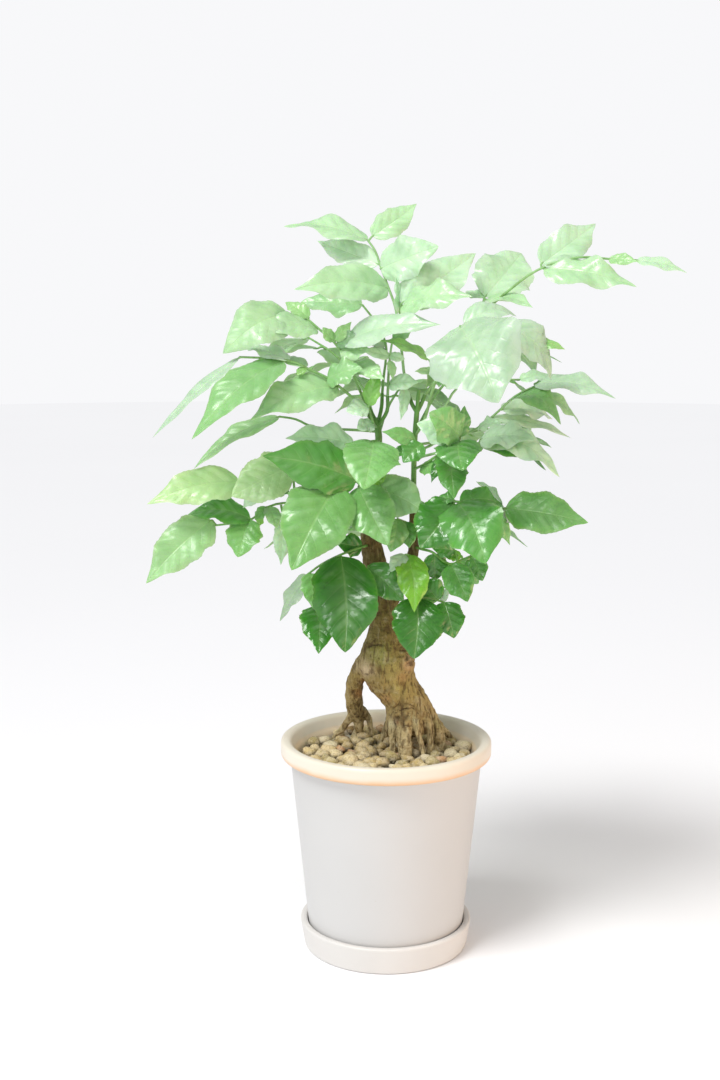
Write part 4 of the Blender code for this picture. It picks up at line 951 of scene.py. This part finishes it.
def bark_material():
    """Olive tan bark in the tones of its skin, streaked, with painted shade in its sunken creases, knot
    holes and root grooves.
    """
    made, tree, shader = new_material("bark")
    tone = own_tone(tree)
    crease_shade = node(tree, "ShaderNodeAttribute", attribute_name="crease_shade").outputs["Fac"]
    broad = grain_of(tree, "bark_broad")
    grain = grain_of(tree, "bark_grain")
    cross = grain_of(tree, "bark_cross")
    pits = ramp(tree, grain_of(tree, "bark_pits"), 0.60, 0.70)
    pale = mix(tree, 0.35, tone, PALE_BARK)
    colour = mix(tree, ramp(tree, broad, 0.55, 0.75), tone, pale)
    colour = mix(tree, ramp(tree, broad, 0.45, 0.28), colour, shaded(tree, tone, BARK_SHADE))
    # Tan on the grain's ridges and brown in its streaks: the bark's own grain colour, and also painted
    # highlight where the bump rises and painted shade where it sinks. Pits are brown, and the creases
    # get painted shade.
    for share, laid in (
        (times(tree, ramp(tree, grain, 0.56, 0.68), 0.30), RIDGE_TAN),
        (times(tree, ramp(tree, grain, 0.50, 0.37), 0.66), STREAK_BROWN),
        (times(tree, pits, 0.55), PIT_BROWN),
        (crease_shade, PAINTED_SHADE_BROWN),
    ):
        colour = mix(tree, share, colour, laid)
    coat(tree, shader, colour, ramp(tree, broad, 0.3, 0.7, 0.66, 0.86))
    shader.inputs["Specular IOR Level"].default_value = 0.3
    bump(tree, maths(tree, "ADD", grain, times(tree, cross, 0.6)), 1.0, 0.0032, shader)
    return made


def glaze_material(band_low):
    """White satin glaze, with a cream band that turns orange at its lower edge, and a warm lining inside
    brightened as painted light.
    """
    made, tree, shader = new_material("pot_glaze")
    where = node(tree, "ShaderNodeTexCoord").outputs["Object"]
    place = node(tree, "ShaderNodeSeparateXYZ", (("Vector", where),)).outputs
    height = place["Z"]
    cloud = grain_of(tree, "glaze_cloud")
    clouded = ramp(tree, cloud, 0.2, 0.8)
    wobble = times(tree, maths(tree, "SUBTRACT", grain_of(tree, "glaze_wobble"), 0.5), 0.004)
    level = maths(tree, "ADD", height, wobble)
    edge = ramp(tree, level, band_low + 0.0005, band_low + 0.0062, 1.0, 0.0)
    rim = mix(tree, times(tree, edge, 0.85), mix(tree, clouded, *CREAM_GLAZE), ORANGE_EDGE)
    band = ramp(tree, height, band_low - 0.0006, band_low + 0.0004)
    colour = mix(tree, band, mix(tree, clouded, *WHITE_GLAZE), rim)
    square_x = times(tree, place["X"], place["X"])
    square_y = times(tree, place["Y"], place["Y"])
    away = maths(tree, "SQRT", maths(tree, "ADD", square_x, square_y))
    # The lining inside the top of the pot: a warm tan glaze, made brighter as painted light on an inner
    # wall that lies in shade
    within = ramp(tree, away, BODY_TOP_RADIUS - 0.0045, BODY_TOP_RADIUS - 0.0030, 1.0, 0.0)
    lining = times(tree, ramp(tree, height, band_low - 0.0130, band_low - 0.0120), within)
    colour = mix(tree, times(tree, lining, 0.9), colour, LIT_WARM_LINING)
    specks = ramp(tree, grain_of(tree, "glaze_speck"), 0.735, 0.765)
    colour = mix(tree, times(tree, specks, 0.35), colour, SPECK_BROWN)
    coat(tree, shader, colour, ramp(tree, cloud, 0.3, 0.7, 0.34, 0.40))
    bump(tree, grain_of(tree, "orange_peel"), 0.06, 0.0004, shader)
    return made


def saucer_material():
    made, tree, shader = new_material("saucer_white")
    cloud = grain_of(tree, "saucer_cloud")
    grain = grain_of(tree, "saucer_grain")
    colour = mix(tree, ramp(tree, cloud, 0.2, 0.8), *SAUCER_WHITE)
    dust = times(tree, ramp(tree, grain, 0.62, 0.75), 0.18)
    colour = mix(tree, dust, colour, DUST_TAN)
    coat(tree, shader, colour, ramp(tree, cloud, 0.3, 0.7, 0.38, 0.55))
    bump(tree, grain, 0.15, 0.0003, shader)
    return made


def pebble_material():
    """Porous pebbles, each with its own tone, which carries painted shade in the gaps, and darker in
    their pores.
    """
    made, tree, shader = new_material("pebble")
    tone = own_tone(tree)
    grain = grain_of(tree, "pebble_grain")
    blot = grain_of(tree, "pebble_blot")
    light = mix(tree, 0.4, tone, PEBBLE_LIGHT)
    colour = mix(tree, ramp(tree, blot, 0.40, 0.62), light, tone)
    pores = times(tree, ramp(tree, grain, 0.50, 0.30), 0.8)
    colour = mix(tree, pores, colour, shaded(tree, tone, PORE_SHADE))
    coat(tree, shader, colour, ramp(tree, grain, 0.3, 0.7, 0.80, 0.95))
    shader.inputs["Specular IOR Level"].default_value = 0.2
    bump(tree, maths(tree, "ADD", grain, blot), 0.9, 0.0012, shader)
    return made


def soil_material():
    made, tree, shader = new_material("soil", 0.95)
    grain = grain_of(tree, "soil_grain")
    coat(tree, shader, mix(tree, ramp(tree, grain, 0.35, 0.65), *SOIL_BROWN))
    bump(tree, grain, 0.9, 0.0015, shader)
    return made


def floor_material():
    made, tree, shader = new_material("pale_floor", 1.0)
    shader.inputs["Specular IOR Level"].default_value = 0.0
    drift = grain_of(tree, "floor_drift")
    coat(tree, shader, mix(tree, ramp(tree, drift, 0.3, 0.7), *PALE_FLOOR))
    return made


# Pot, saucer and pebbles

def wall_radius(height):
    """The pot's inner radius at a height between its floor and its band."""
    low = POT_FOOT + POT_FLOOR
    high = POT_TOP - BAND_HEIGHT
    share = (height - low) / (high - low)
    return BODY_FOOT_RADIUS + (BODY_TOP_RADIUS - BODY_FOOT_RADIUS) * share - POT_WALL


def make_pot():
    floor = POT_FOOT + POT_FLOOR
    band = POT_TOP - BAND_HEIGHT
    corners = (
        (DRAIN_RADIUS, floor), (wall_radius(floor), floor), (wall_radius(band), band),
        (RIM_RADIUS - RIM_LIP, POT_TOP), (RIM_RADIUS, POT_TOP), (RIM_RADIUS, band + BAND_DROP),
        (BODY_TOP_RADIUS + BAND_STEP, band - BAND_STEP), (BODY_TOP_RADIUS, band - NECK_HEIGHT),
        (BODY_FOOT_RADIUS, POT_FOOT + FOOT_HEIGHT), (POT_FOOT_RADIUS, POT_FOOT),
        (DRAIN_RADIUS, POT_FOOT),
    )
    profile = rounded(corners, *POT_ROUNDING)
    pot = turned("glazed_pot", profile, [glaze_material(band)])
    stand_for(pot, "pot")


def make_saucer():
    top = SAUCER_HEIGHT
    inner = SAUCER_RADIUS - SAUCER_WALL
    corners = (
        (0.0, SAUCER_FLOOR), (inner - SAUCER_COVE, SAUCER_FLOOR), (inner, top),
        (SAUCER_RADIUS, top), (SAUCER_FOOT_RADIUS, 0.0), (0.0, 0.0),
    )
    profile = rounded(corners, *SAUCER_ROUNDING)
    saucer = turned("white_saucer", profile, [saucer_material()])
    stand_for(saucer, "saucer")


def add_pebble(bm, layers, centre, draw):
    """One pebble: a small ball, squashed, turned and dented, its colour darkened by painted shade low in
    the gaps and on its lower side.
    """
    radius = draw.uniform(*PEBBLE_SIZES)
    made = bmesh.ops.create_icosphere(bm, subdivisions=2, radius=1.0)["verts"]
    wide = radius * draw.uniform(*PEBBLE_STRETCH)
    squash = Vector((wide, radius, radius * draw.uniform(*PEBBLE_FLATNESS)))
    turn = Matrix.Rotation(draw.uniform(0, math.tau), 3, "Z")
    turn = turn @ Matrix.Rotation(draw.uniform(-PEBBLE_TILT, PEBBLE_TILT), 3, "X")
    shift = Vector((draw.uniform(0, 50), draw.uniform(0, 50), draw.uniform(0, 50)))
    facets = []
    for _ in range(PEBBLE_FACETS):
        way = Vector((draw.gauss(0, 1), draw.gauss(0, 1), draw.gauss(0, 1))).normalized()
        facets.append((way, draw.uniform(*PEBBLE_FACET_REACH)))
    colour = Vector(draw.choices(PEBBLE_TONES, PEBBLE_SHARES)[0])
    colour *= draw.uniform(*PEBBLE_SHADES)
    for vert in made:
        lump = sum((deep * noise.noise(vert.co * pitch + shift) for pitch, deep in PEBBLE_LUMPS), 1.0)
        spot = vert.co * lump
        for way, reach in facets:
            spot -= way * max(0.0, spot.dot(way) - reach) * PEBBLE_FACET_CUT
        local = Vector(a * b for a, b in zip(spot * PEBBLE_FULLNESS, squash))
        vert.co = centre + turn @ local
        # Painted shade: darker low in the pebble layers and on the lower side of each pebble
        shade = GAP_SHADE + (1 - GAP_SHADE) * ease(vert.co.z, *GAP_SHADE_LEVEL)
        low, high = (part * radius for part in GAP_SHADE_SIDES)
        shade *= GAP_SHADE + (1 - GAP_SHADE) * ease(vert.co.z - centre.z, low, high)
        vert[layers] = (*(colour * shade), 1.0)


def make_pebbles():
    draw = random.Random(PEBBLE_SEED)
    bm = bmesh.new()
    # The tone layer carries each pebble's colour together with its painted shade
    tone = bm.verts.layers.float_color.new("tone")
    for height, pitch, offset in PEBBLE_LAYERS:
        reach = wall_radius(height) - PEBBLE_SIZES[0]
        steps = int(reach / pitch) + 2
        for row in range(-steps, steps + 1):
            for column in range(-steps, steps + 1):
                shift = offset + (0.5 if row % 2 else 0.0)
                x = (column + shift + draw.uniform(-PEBBLE_JITTER, PEBBLE_JITTER)) * pitch
                y = (row + offset + draw.uniform(-PEBBLE_JITTER, PEBBLE_JITTER)) * pitch * ROW_PITCH
                lift = draw.uniform(*PEBBLE_LIFT)
                if math.hypot(x, y) < reach:
                    add_pebble(bm, tone, Vector((x, y, height + lift)), draw)
    pebbles = finish_mesh(bm, "pebbles", [pebble_material()])
    stand_for(pebbles, "gravel")


# Wood

def limb_points(rows):
    places = [sight(*row[:3]) for row in rows]
    radii = [row[3] * MM for row in rows]
    return places, radii


def root_run(rows):
    """A root's points and radii, run on to below the pebbles."""
    places, radii = limb_points(rows)
    heading = (places[-1] - places[-2]).normalized()
    places.append(places[-1] + heading * ROOT_RUN_ON + Vector((0, 0, -ROOT_RUN_ON)))
    radii.append(radii[-1] * ROOT_TAPER)
    return places, radii


def noted(place):
    """A place's x and z as the survey has them, in metres: the reverse of sight()."""
    reach = STATION.y / (STATION.y - place.y)
    spot = STATION + (place - STATION) * reach
    return Vector((spot.x, spot.z))


def line_gap(spot, points):
    """How far a spot lies from a line through the points, all in the survey's plane."""
    best = 1.0
    for first, second in zip(points, points[1:]):
        run = second - first
        share = max(0.0, min(1.0, (spot - first).dot(run) / run.length_squared))
        best = min(best, (first + run * share - spot).length)
    return best


def crease_lines():
    """The creases with their points in metres and the box that each can reach."""
    lines = []
    for half_wide, deep, *points in CREASES:
        places = [Vector(point) * MM for point in points]
        reach = 4 * half_wide * MM + CREASE_WOBBLE
        low = Vector((min(p.x for p in places) - reach, min(p.y for p in places) - reach))
        high = Vector((max(p.x for p in places) + reach, max(p.y for p in places) + reach))
        lines.append((half_wide * MM, deep * MM, places, low, high))
    return lines


def scar_depth(place, lines):
    """How deep the front of the bark is creased at a place, and how much painted shade darkens it there,
    with a faint darkening on a swelling's ring.
    """
    depth = 0.0
    dark = 0.0
    spot = noted(place)
    wobble = Vector((noise.noise(place * 260.0), noise.noise(place * 260.0 + Vector((9, 9, 9)))))
    spot += wobble * CREASE_WOBBLE
    for x, z, radius, pit in KNOT_HOLES:
        away = (spot - Vector((x, z)) * MM).length / (radius * MM)
        hollow = math.exp(-away ** 2)
        ring = math.exp(-((away - RING_PLACE) / RING_WIDTH) ** 2)
        depth += pit * MM * hollow - abs(pit) * MM * RING_RISE * ring
        dark = max(dark, KNOT_HOLE_SHADE * hollow if pit > 0 else RING_DARKNESS * ring)
    broken = ease(noise.noise(place * 150.0), *CREASE_BREAKS)
    for half_wide, deep, places, low, high in lines:
        if low.x < spot.x < high.x and low.y < spot.y < high.y:
            near = math.exp(-(line_gap(spot, places) / half_wide) ** 2)
            depth += deep * near * (0.4 + 0.6 * broken)
            dark = max(dark, CREASE_SHADE * near * broken if deep > 0 else 0.0)
    return depth, dark


def bark_tone(place):
    """The bark's own tone at a place: a blend by height, with patches laid over it."""
    level = place.z + TONE_DRIFT * noise.noise(place * 60.0)
    tone = Vector(BARK_TONES[0][1])
    for (high, first), (low, second) in zip(BARK_TONES, BARK_TONES[1:]):
        tone = tone.lerp(Vector(second), 1 - ease(level, low, high))
    for x, z, radius, colour in BARK_PATCHES:
        spot = sight(x, z, 0)
        away = math.hypot(place.x - spot.x, place.z - spot.z)
        away *= 1 + PATCH_WOBBLE * noise.noise(place * 110.0)
        tone = tone.lerp(Vector(colour), PATCH_COVER * math.exp(-(away / (radius * MM)) ** 2))
    return tone


def grain_at(place, across, along):
    """Noise drawn out along the wood."""
    return noise.noise(Vector((place.x * across, place.y * across, place.z * along)))


def make_trunk(bark):
    runs = [limb_points(rows) for rows in (TRUNK, SIDE_LIMB, ARCH_ROOT)]
    runs += [root_run(rows) for rows in ROOTS]
    mesh = tube_mesh("trunk_limbs", runs, *LIMB_TUBE)
    bm = bmesh.new()
    bm.from_mesh(mesh)
    for x, z, y, radius in KNOTS:
        place = Matrix.Translation(sight(x, z, y))
        bmesh.ops.create_icosphere(bm, subdivisions=3, radius=radius * MM, matrix=place)
    bm.to_mesh(mesh)
    bm.free()
    skin = new_object("trunk_skin", mesh)
    remesh = skin.modifiers.new("skin", "REMESH")
    remesh.mode = "VOXEL"
    remesh.voxel_size = TRUNK_VOXEL
    smooth = skin.modifiers.new("smooth", "SMOOTH")
    smooth.factor = 0.5
    smooth.iterations = 8
    mesh = evaluated(skin)
    bpy.data.objects.remove(skin)
    bm = bmesh.new()
    bm.from_mesh(mesh)
    bm.normal_update()
    crease_shade = bm.verts.layers.float.new("crease_shade")
    tone = bm.verts.layers.float_color.new("tone")
    moved = []
    lines = crease_lines()
    for vert in bm.verts:
        place = vert.co
        flute = grain_at(place, *FLUTE_PITCH)
        fine = grain_at(place, *RIDGE_PITCH)
        lump = noise.noise(place * LUMP_PITCH)
        low = 1 - ease(place.z, *ROOT_LEVELS)
        depth, dark = scar_depth(place, lines) if vert.normal.y < 0.3 else (0.0, 0.0)
        rise = BARK_DEPTH * (flute * (0.5 + 1.5 * low) + 0.9 * fine + 1.1 * lump) - depth
        moved.append(place + vert.normal * rise)
        # Painted shade: darker in sunken knot holes and creases, and in the grooves low on the roots
        groove_shade = ease(-flute, *GROOVE_SPAN) * low * 0.5
        vert[crease_shade] = max(dark, groove_shade)
        vert[tone] = (*bark_tone(place), 1.0)
    for vert, place in zip(bm.verts, moved):
        vert.co = place
    trunk = finish_mesh(bm, "trunk_bark", [bark])
    stand_for(trunk, "trunk")


# Leaves

def nearest_on(ribs, point):
    """The point of the ribs' lines that is nearest to a point."""
    best = None
    for places in ribs:
        for first, second in zip(places, places[1:]):
            run = second - first
            share = max(0.04, min(0.96, (point - first).dot(run) / run.length_squared))
            spot = first + run * share
            if best is None or (spot - point).length < (best - point).length:
                best = spot
    return best


def rib_depth(rows, x, z):
    """The depth of the rib where it passes nearest to (x, z) as noted in the survey."""
    best = None
    for rib in rows:
        for first, second in zip(rib, rib[1:]):
            run = Vector((second[0] - first[0], second[1] - first[1]))
            away = Vector((x - first[0], z - first[1]))
            share = max(0.0, min(1.0, away.dot(run) / run.length_squared))
            miss = (away - run * share).length
            if best is None or miss < best[0]:
                best = (miss, first[2] + (second[2] - first[2]) * share)
    return best[1]


def facing(base, tip, turn):
    """The way a leaf's face looks, turned about its midrib from square to the station."""
    axis = (tip - base).normalized()
    view = ((base + tip) / 2 - STATION).normalized()
    side = axis.cross(view).normalized()
    face = side.cross(axis).normalized()
    if face.dot(view) > 0:
        face = -face
    rising = side if side.z > 0 else -side
    if abs(side.z) < STEEP_LEAF:
        rising = side if side.x > 0 else -side
    angle = math.radians(turn)
    return face * math.cos(angle) + rising * math.sin(angle)


def half_width(share, ratio):
    """A blade's half width at a share of its length, as a share of its widest."""
    long = ease(ratio, *LONG_RATIOS)
    power = TIP_POWERS[0] + (TIP_POWERS[1] - TIP_POWERS[0]) * long
    pinch = TIP_PINCHES[0] + (TIP_PINCHES[1] - TIP_PINCHES[0]) * long
    peak = BASE_POWER / (BASE_POWER + power)
    full = peak ** BASE_POWER * (1 - peak) ** power
    body = share ** BASE_POWER * (1 - share) ** power / full
    return body * (1 - pinch * ease(share, *PINCH_SPAN))


def blade_point(leaf, across, share, side):
    """A point of a blade's upper or lower skin, and its place among the side veins."""
    length = leaf["length"]
    spread = abs(across)
    hand = 1.0 if across > 0 else -1.0
    margin = MARGIN_WAVE * math.sin(math.tau * leaf["lobes"] * share + leaf["phase"] * hand)
    margin += MARGIN_NICKS * noise.noise(Vector((share * 9.0, leaf["phase"] * 5.0, hand * 7.0)))
    margin += MARGIN_TOOTH * math.cos(math.pi * BLADE_ALONG * share) * spread ** 8
    half = leaf["width"] / 2 * half_width(share, length / leaf["width"]) * (1 + margin)
    vein = leaf["veins"] * (share - VEIN_SLANT * spread * half / length - 0.05 * spread * spread)
    rise = half * (BLADE_FOLD * spread - BLADE_CURL * spread ** 3)
    ripple = math.sin(math.tau * (leaf["waves"] * share) + leaf["phase"] + hand)
    rise += leaf["wave"] * leaf["width"] * ripple * spread ** 2 * math.sin(math.pi * share)
    puff = abs(math.sin(math.pi * vein)) ** QUILT_ROUNDNESS - QUILT_LEVEL
    rise += BLADE_QUILT * half * puff * ease(spread, *QUILT_START) * (1 - ease(spread, *QUILT_END))
    taper = (1 - spread ** 4) * ease(share, 0.0, END_TAPER) * ease(1 - share, 0.0, END_TAPER)
    rise += side * BLADE_THICKNESS / 2 * taper
    arch = leaf["arch"] * length * math.sin(math.pi * share)
    sway = leaf["sway"] * length * math.sin(math.pi * share)
    middle = leaf["base"].lerp(leaf["tip"], share) + leaf["face"] * arch + leaf["across"] * sway
    return middle + leaf["across"] * (half * across) + leaf["face"] * rise, vein


def add_blade(bm, leaf, tone_layer, uv_layer):
    """A blade of two skins that meet along the margin, the lower one facing away."""
    skins = []
    for side, slot in ((1, 0), (-1, 1)):
        made = bmesh.ops.create_grid(bm, x_segments=BLADE_ACROSS, y_segments=BLADE_ALONG, size=1.0)
        veins = {}
        spots = {}
        for vert in made["verts"]:
            across = vert.co.x
            share = (vert.co.y + 1) / 2
            vert.co, veins[vert] = blade_point(leaf, across, share, side)
            spots[vert] = across
            pale = HEART_PALING * (1 - abs(across)) ** 2
            colour = leaf["tone"].lerp(PALE_HEART, pale)
            vert[tone_layer] = (*colour, 1.0)
        faces = {face for vert in made["verts"] for face in vert.link_faces}
        for face in faces:
            face.material_index = slot
            for loop in face.loops:
                loop[uv_layer].uv = (spots[loop.vert], veins[loop.vert])
        middle = max(faces, key=lambda face: face.calc_area())
        middle.normal_update()
        if middle.normal.dot(leaf["face"]) * side < 0:
            bmesh.ops.reverse_faces(bm, faces=list(faces))
        skins += made["verts"]
    bmesh.ops.remove_doubles(bm, verts=skins, dist=0.000002)


def leaf_at(base, tip, width, face, arch, tone, draw):
    axis = (tip - base).normalized()
    across = axis.cross(face).normalized()
    shade = draw.uniform(*LEAF_SHADES)
    # Paler towards the top of the plant: partly young growth, partly painted light from above
    most, low, top = TOP_PALING_YOUNG_AND_LIT
    high = most * ease((base.z + tip.z) / 2, low, top)
    colour = (Vector(tone) * shade).lerp(Vector(TONES["mint"]), high)
    return {
        "base": base, "tip": tip, "width": width, "face": face, "arch": arch,
        "length": (tip - base).length, "across": across, "tone": colour,
        "phase": draw.uniform(0.0, math.tau), "waves": draw.uniform(*LEAF_RIPPLES),
        "lobes": draw.uniform(*LEAF_LOBES),
        "veins": VEIN_PAIRS * min(1.0, 0.3 + 0.7 * (tip - base).length / VEINED_LENGTH),
        "wave": draw.uniform(*BLADE_WAVES), "sway": draw.uniform(-LEAF_SWAY, LEAF_SWAY),
    }


def far_leaves(rib, length, width, seed, draw_shape):
    """Pairs of leaflets and an end leaflet on a far-side rib, drooping outwards."""
    draw = random.Random(seed)
    out = rib[-1] - rib[-2]
    out.z = 0.0
    out.normalize()
    across = Vector((-out.y, out.x, 0.0))
    places = [(rib[-1], 0.0, 1.0)]
    for point, share, size in FAR_PAIRS:
        spot = rib[point].lerp(rib[point + 1], share)
        places.append((spot, 1.0, size))
        places.append((spot, -1.0, size))
    leaves = []
    for spot, hand, size in places:
        heading = out * (FAR_LEAN if hand else 1.0) + across * hand
        heading = heading.normalized() + Vector((0.0, 0.0, draw.uniform(*FAR_DROOP)))
        heading.normalize()
        base = spot + heading * FAR_STALK
        tip = base + heading * length * MM * size * draw.uniform(*FAR_LENGTHS)
        face = Vector((0.0, 0.0, 1.0)) + out * draw.uniform(*FAR_TILT)
        face = (face - heading * face.dot(heading)).normalized()
        leaf = leaf_at(base, tip, width * MM * size, face, FAR_ARCH, TONES["fresh"], draw_shape)
        leaves.append((spot, leaf))
    return leaves


def surveyed_leaves(plan, ribs, draw_shape):
    leaves = []
    for base_x, base_z, tip_x, tip_z, tip_y, width, turn, arch, tone in plan["leaves"]:
        base = sight(base_x, base_z, rib_depth(plan["ribs"], base_x, base_z))
        tip = sight(tip_x, tip_z, tip_y)
        face = facing(base, tip, turn)
        leaf = leaf_at(base, tip, width * MM, face, arch, TONES[tone], draw_shape)
        leaves.append((nearest_on(ribs, base), leaf))
    return leaves


def stalk_run(root, leaf):
    """A leaf's stalk, bent a little on its way and run on under the blade's first part."""
    base = leaf["base"]
    middle = root.lerp(base, 0.5) + leaf["face"] * 0.06 * (base - root).length
    end = base.lerp(leaf["tip"], 0.06) + leaf["face"] * leaf["arch"] * leaf["length"] * 0.15
    return [root, middle, base, end], [STALK_RADIUS * part for part in STALK_TAPER]


def rib_lines(rib_rows):
    return [[sight(*row) for row in rib] for rib in rib_rows]


def make_frond(name, ribs, leaves, materials):
    """A frond's piece: ribs and stalks as round tubes, and every blade with two skins."""
    runs = []
    for places in ribs:
        last = len(places) - 1
        radii = [RIB_RADIUS * (1 + (RIB_TIP_SHARE - 1) * i / last) for i in range(last + 1)]
        runs.append((places, radii))
    runs += [stalk_run(root, leaf) for root, leaf in leaves]
    bm = bmesh.new()
    bm.from_mesh(tube_mesh(name + "_tubes", runs, *RIB_TUBE))
    tone_layer = bm.verts.layers.float_color.new("tone")
    uv_layer = bm.loops.layers.uv.new("blade")
    mean = sum((leaf["tone"] for _, leaf in leaves), Vector()) / len(leaves)
    stalk = Vector(STALK_TONE).lerp(mean, STALK_TINT)
    for vert in bm.verts:
        vert[tone_layer] = (*stalk, 1.0)
    for face in bm.faces:
        face.material_index = 2
    for _, leaf in leaves:
        add_blade(bm, leaf, tone_layer, uv_layer)
    for edge in bm.edges:
        if len({face.material_index for face in edge.link_faces}) > 1:
            edge.smooth = False
    frond = finish_mesh(bm, name + "_leaves", materials)
    stand_for(frond, name)


def make_stem(name, shoots, stalk):
    runs = [limb_points(rows) for rows in shoots]
    bm = bmesh.new()
    bm.from_mesh(tube_mesh(name + "_tubes", runs, *STEM_TUBE))
    tone_layer = bm.verts.layers.float_color.new("tone")
    for vert in bm.verts:
        vert[tone_layer] = (*STEM_TONE, 1.0)
    stem = finish_mesh(bm, name + "_shoots", [stalk])
    stand_for(stem, name)


def make_plant():
    stalk = stalk_material()
    skins = [leaf_material("leaf_upper", True), leaf_material("leaf_under", False), stalk]
    make_trunk(bark_material())
    for name, shoots in STEMS.items():
        make_stem(name, shoots, stalk)
    for name, plan in FRONDS.items():
        ribs = rib_lines(plan["ribs"])
        leaves = surveyed_leaves(plan, ribs, random.Random(name))
        make_frond(name, ribs, leaves, skins)
    for name, (rows, length, width, seed) in FAR_FRONDS.items():
        ribs = rib_lines((rows,))
        leaves = far_leaves(ribs[0], length, width, seed, random.Random(name))
        make_frond(name, ribs, leaves, skins)


# Stage

def add_light(name, place, target, size, power, colour):
    light = bpy.data.lights.new(name, "AREA")
    light.shape = "DISK"
    light.size = size
    light.energy = power
    light.color = colour
    item = bpy.data.objects.new(name, light)
    item.location = place
    item.rotation_euler = (Vector(target) - Vector(place)).to_track_quat("-Z", "Y").to_euler()
    bpy.context.scene.collection.objects.link(item)


def add_sun(name, place, strength, spread):
    light = bpy.data.lights.new(name, "SUN")
    light.energy = strength
    light.angle = math.radians(spread)
    item = bpy.data.objects.new(name, light)
    item.location = place
    item.rotation_euler = (-Vector(place)).to_track_quat("-Z", "Y").to_euler()
    bpy.context.scene.collection.objects.link(item)


def make_stage():
    bm = bmesh.new()
    bmesh.ops.create_circle(bm, cap_ends=True, segments=FLOOR_SIDES, radius=FLOOR_RADIUS)
    floor = finish_mesh(bm, "floor", [floor_material()])
    world = bpy.data.worlds.new("pale_room")
    world.use_nodes = True
    tree = world.node_tree
    seen = tree.nodes["Background"]
    seen.inputs["Color"].default_value = WALL_COLOUR
    ambient = node(tree, "ShaderNodeBackground", (("Color", WALL_COLOUR), ("Strength", AMBIENT)))
    path = node(tree, "ShaderNodeLightPath")
    both = node(tree, "ShaderNodeMixShader", ((0, path.outputs["Is Camera Ray"]),))
    tree.links.new(ambient.outputs[0], both.inputs[1])
    tree.links.new(seen.outputs[0], both.inputs[2])
    tree.links.new(both.outputs[0], tree.nodes["World Output"].inputs["Surface"])
    bpy.context.scene.world = world
    add_sun("daylight", DAYLIGHT_PLACE, DAYLIGHT, DAYLIGHT_SPREAD)
    for name, (place, target, size, power, colour) in LIGHTS.items():
        add_light(name, place, target, size, power, colour)


def make_camera():
    lens = bpy.data.cameras.new("camera")
    lens.lens = LENS_LENGTH
    lens.sensor_width = SENSOR_WIDTH
    item = bpy.data.objects.new("camera", lens)
    item.location = STATION
    item.rotation_euler = (math.radians(CAMERA_TILT), 0.0, 0.0)
    bpy.context.scene.collection.objects.link(item)
    bpy.context.scene.camera = item


make_camera()
make_stage()
make_saucer()
make_pot()
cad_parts["soil"].data.materials.clear()
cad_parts["soil"].data.materials.append(soil_material())
make_pebbles()
make_plant()
bpy.context.scene.view_settings.view_transform = "Standard"
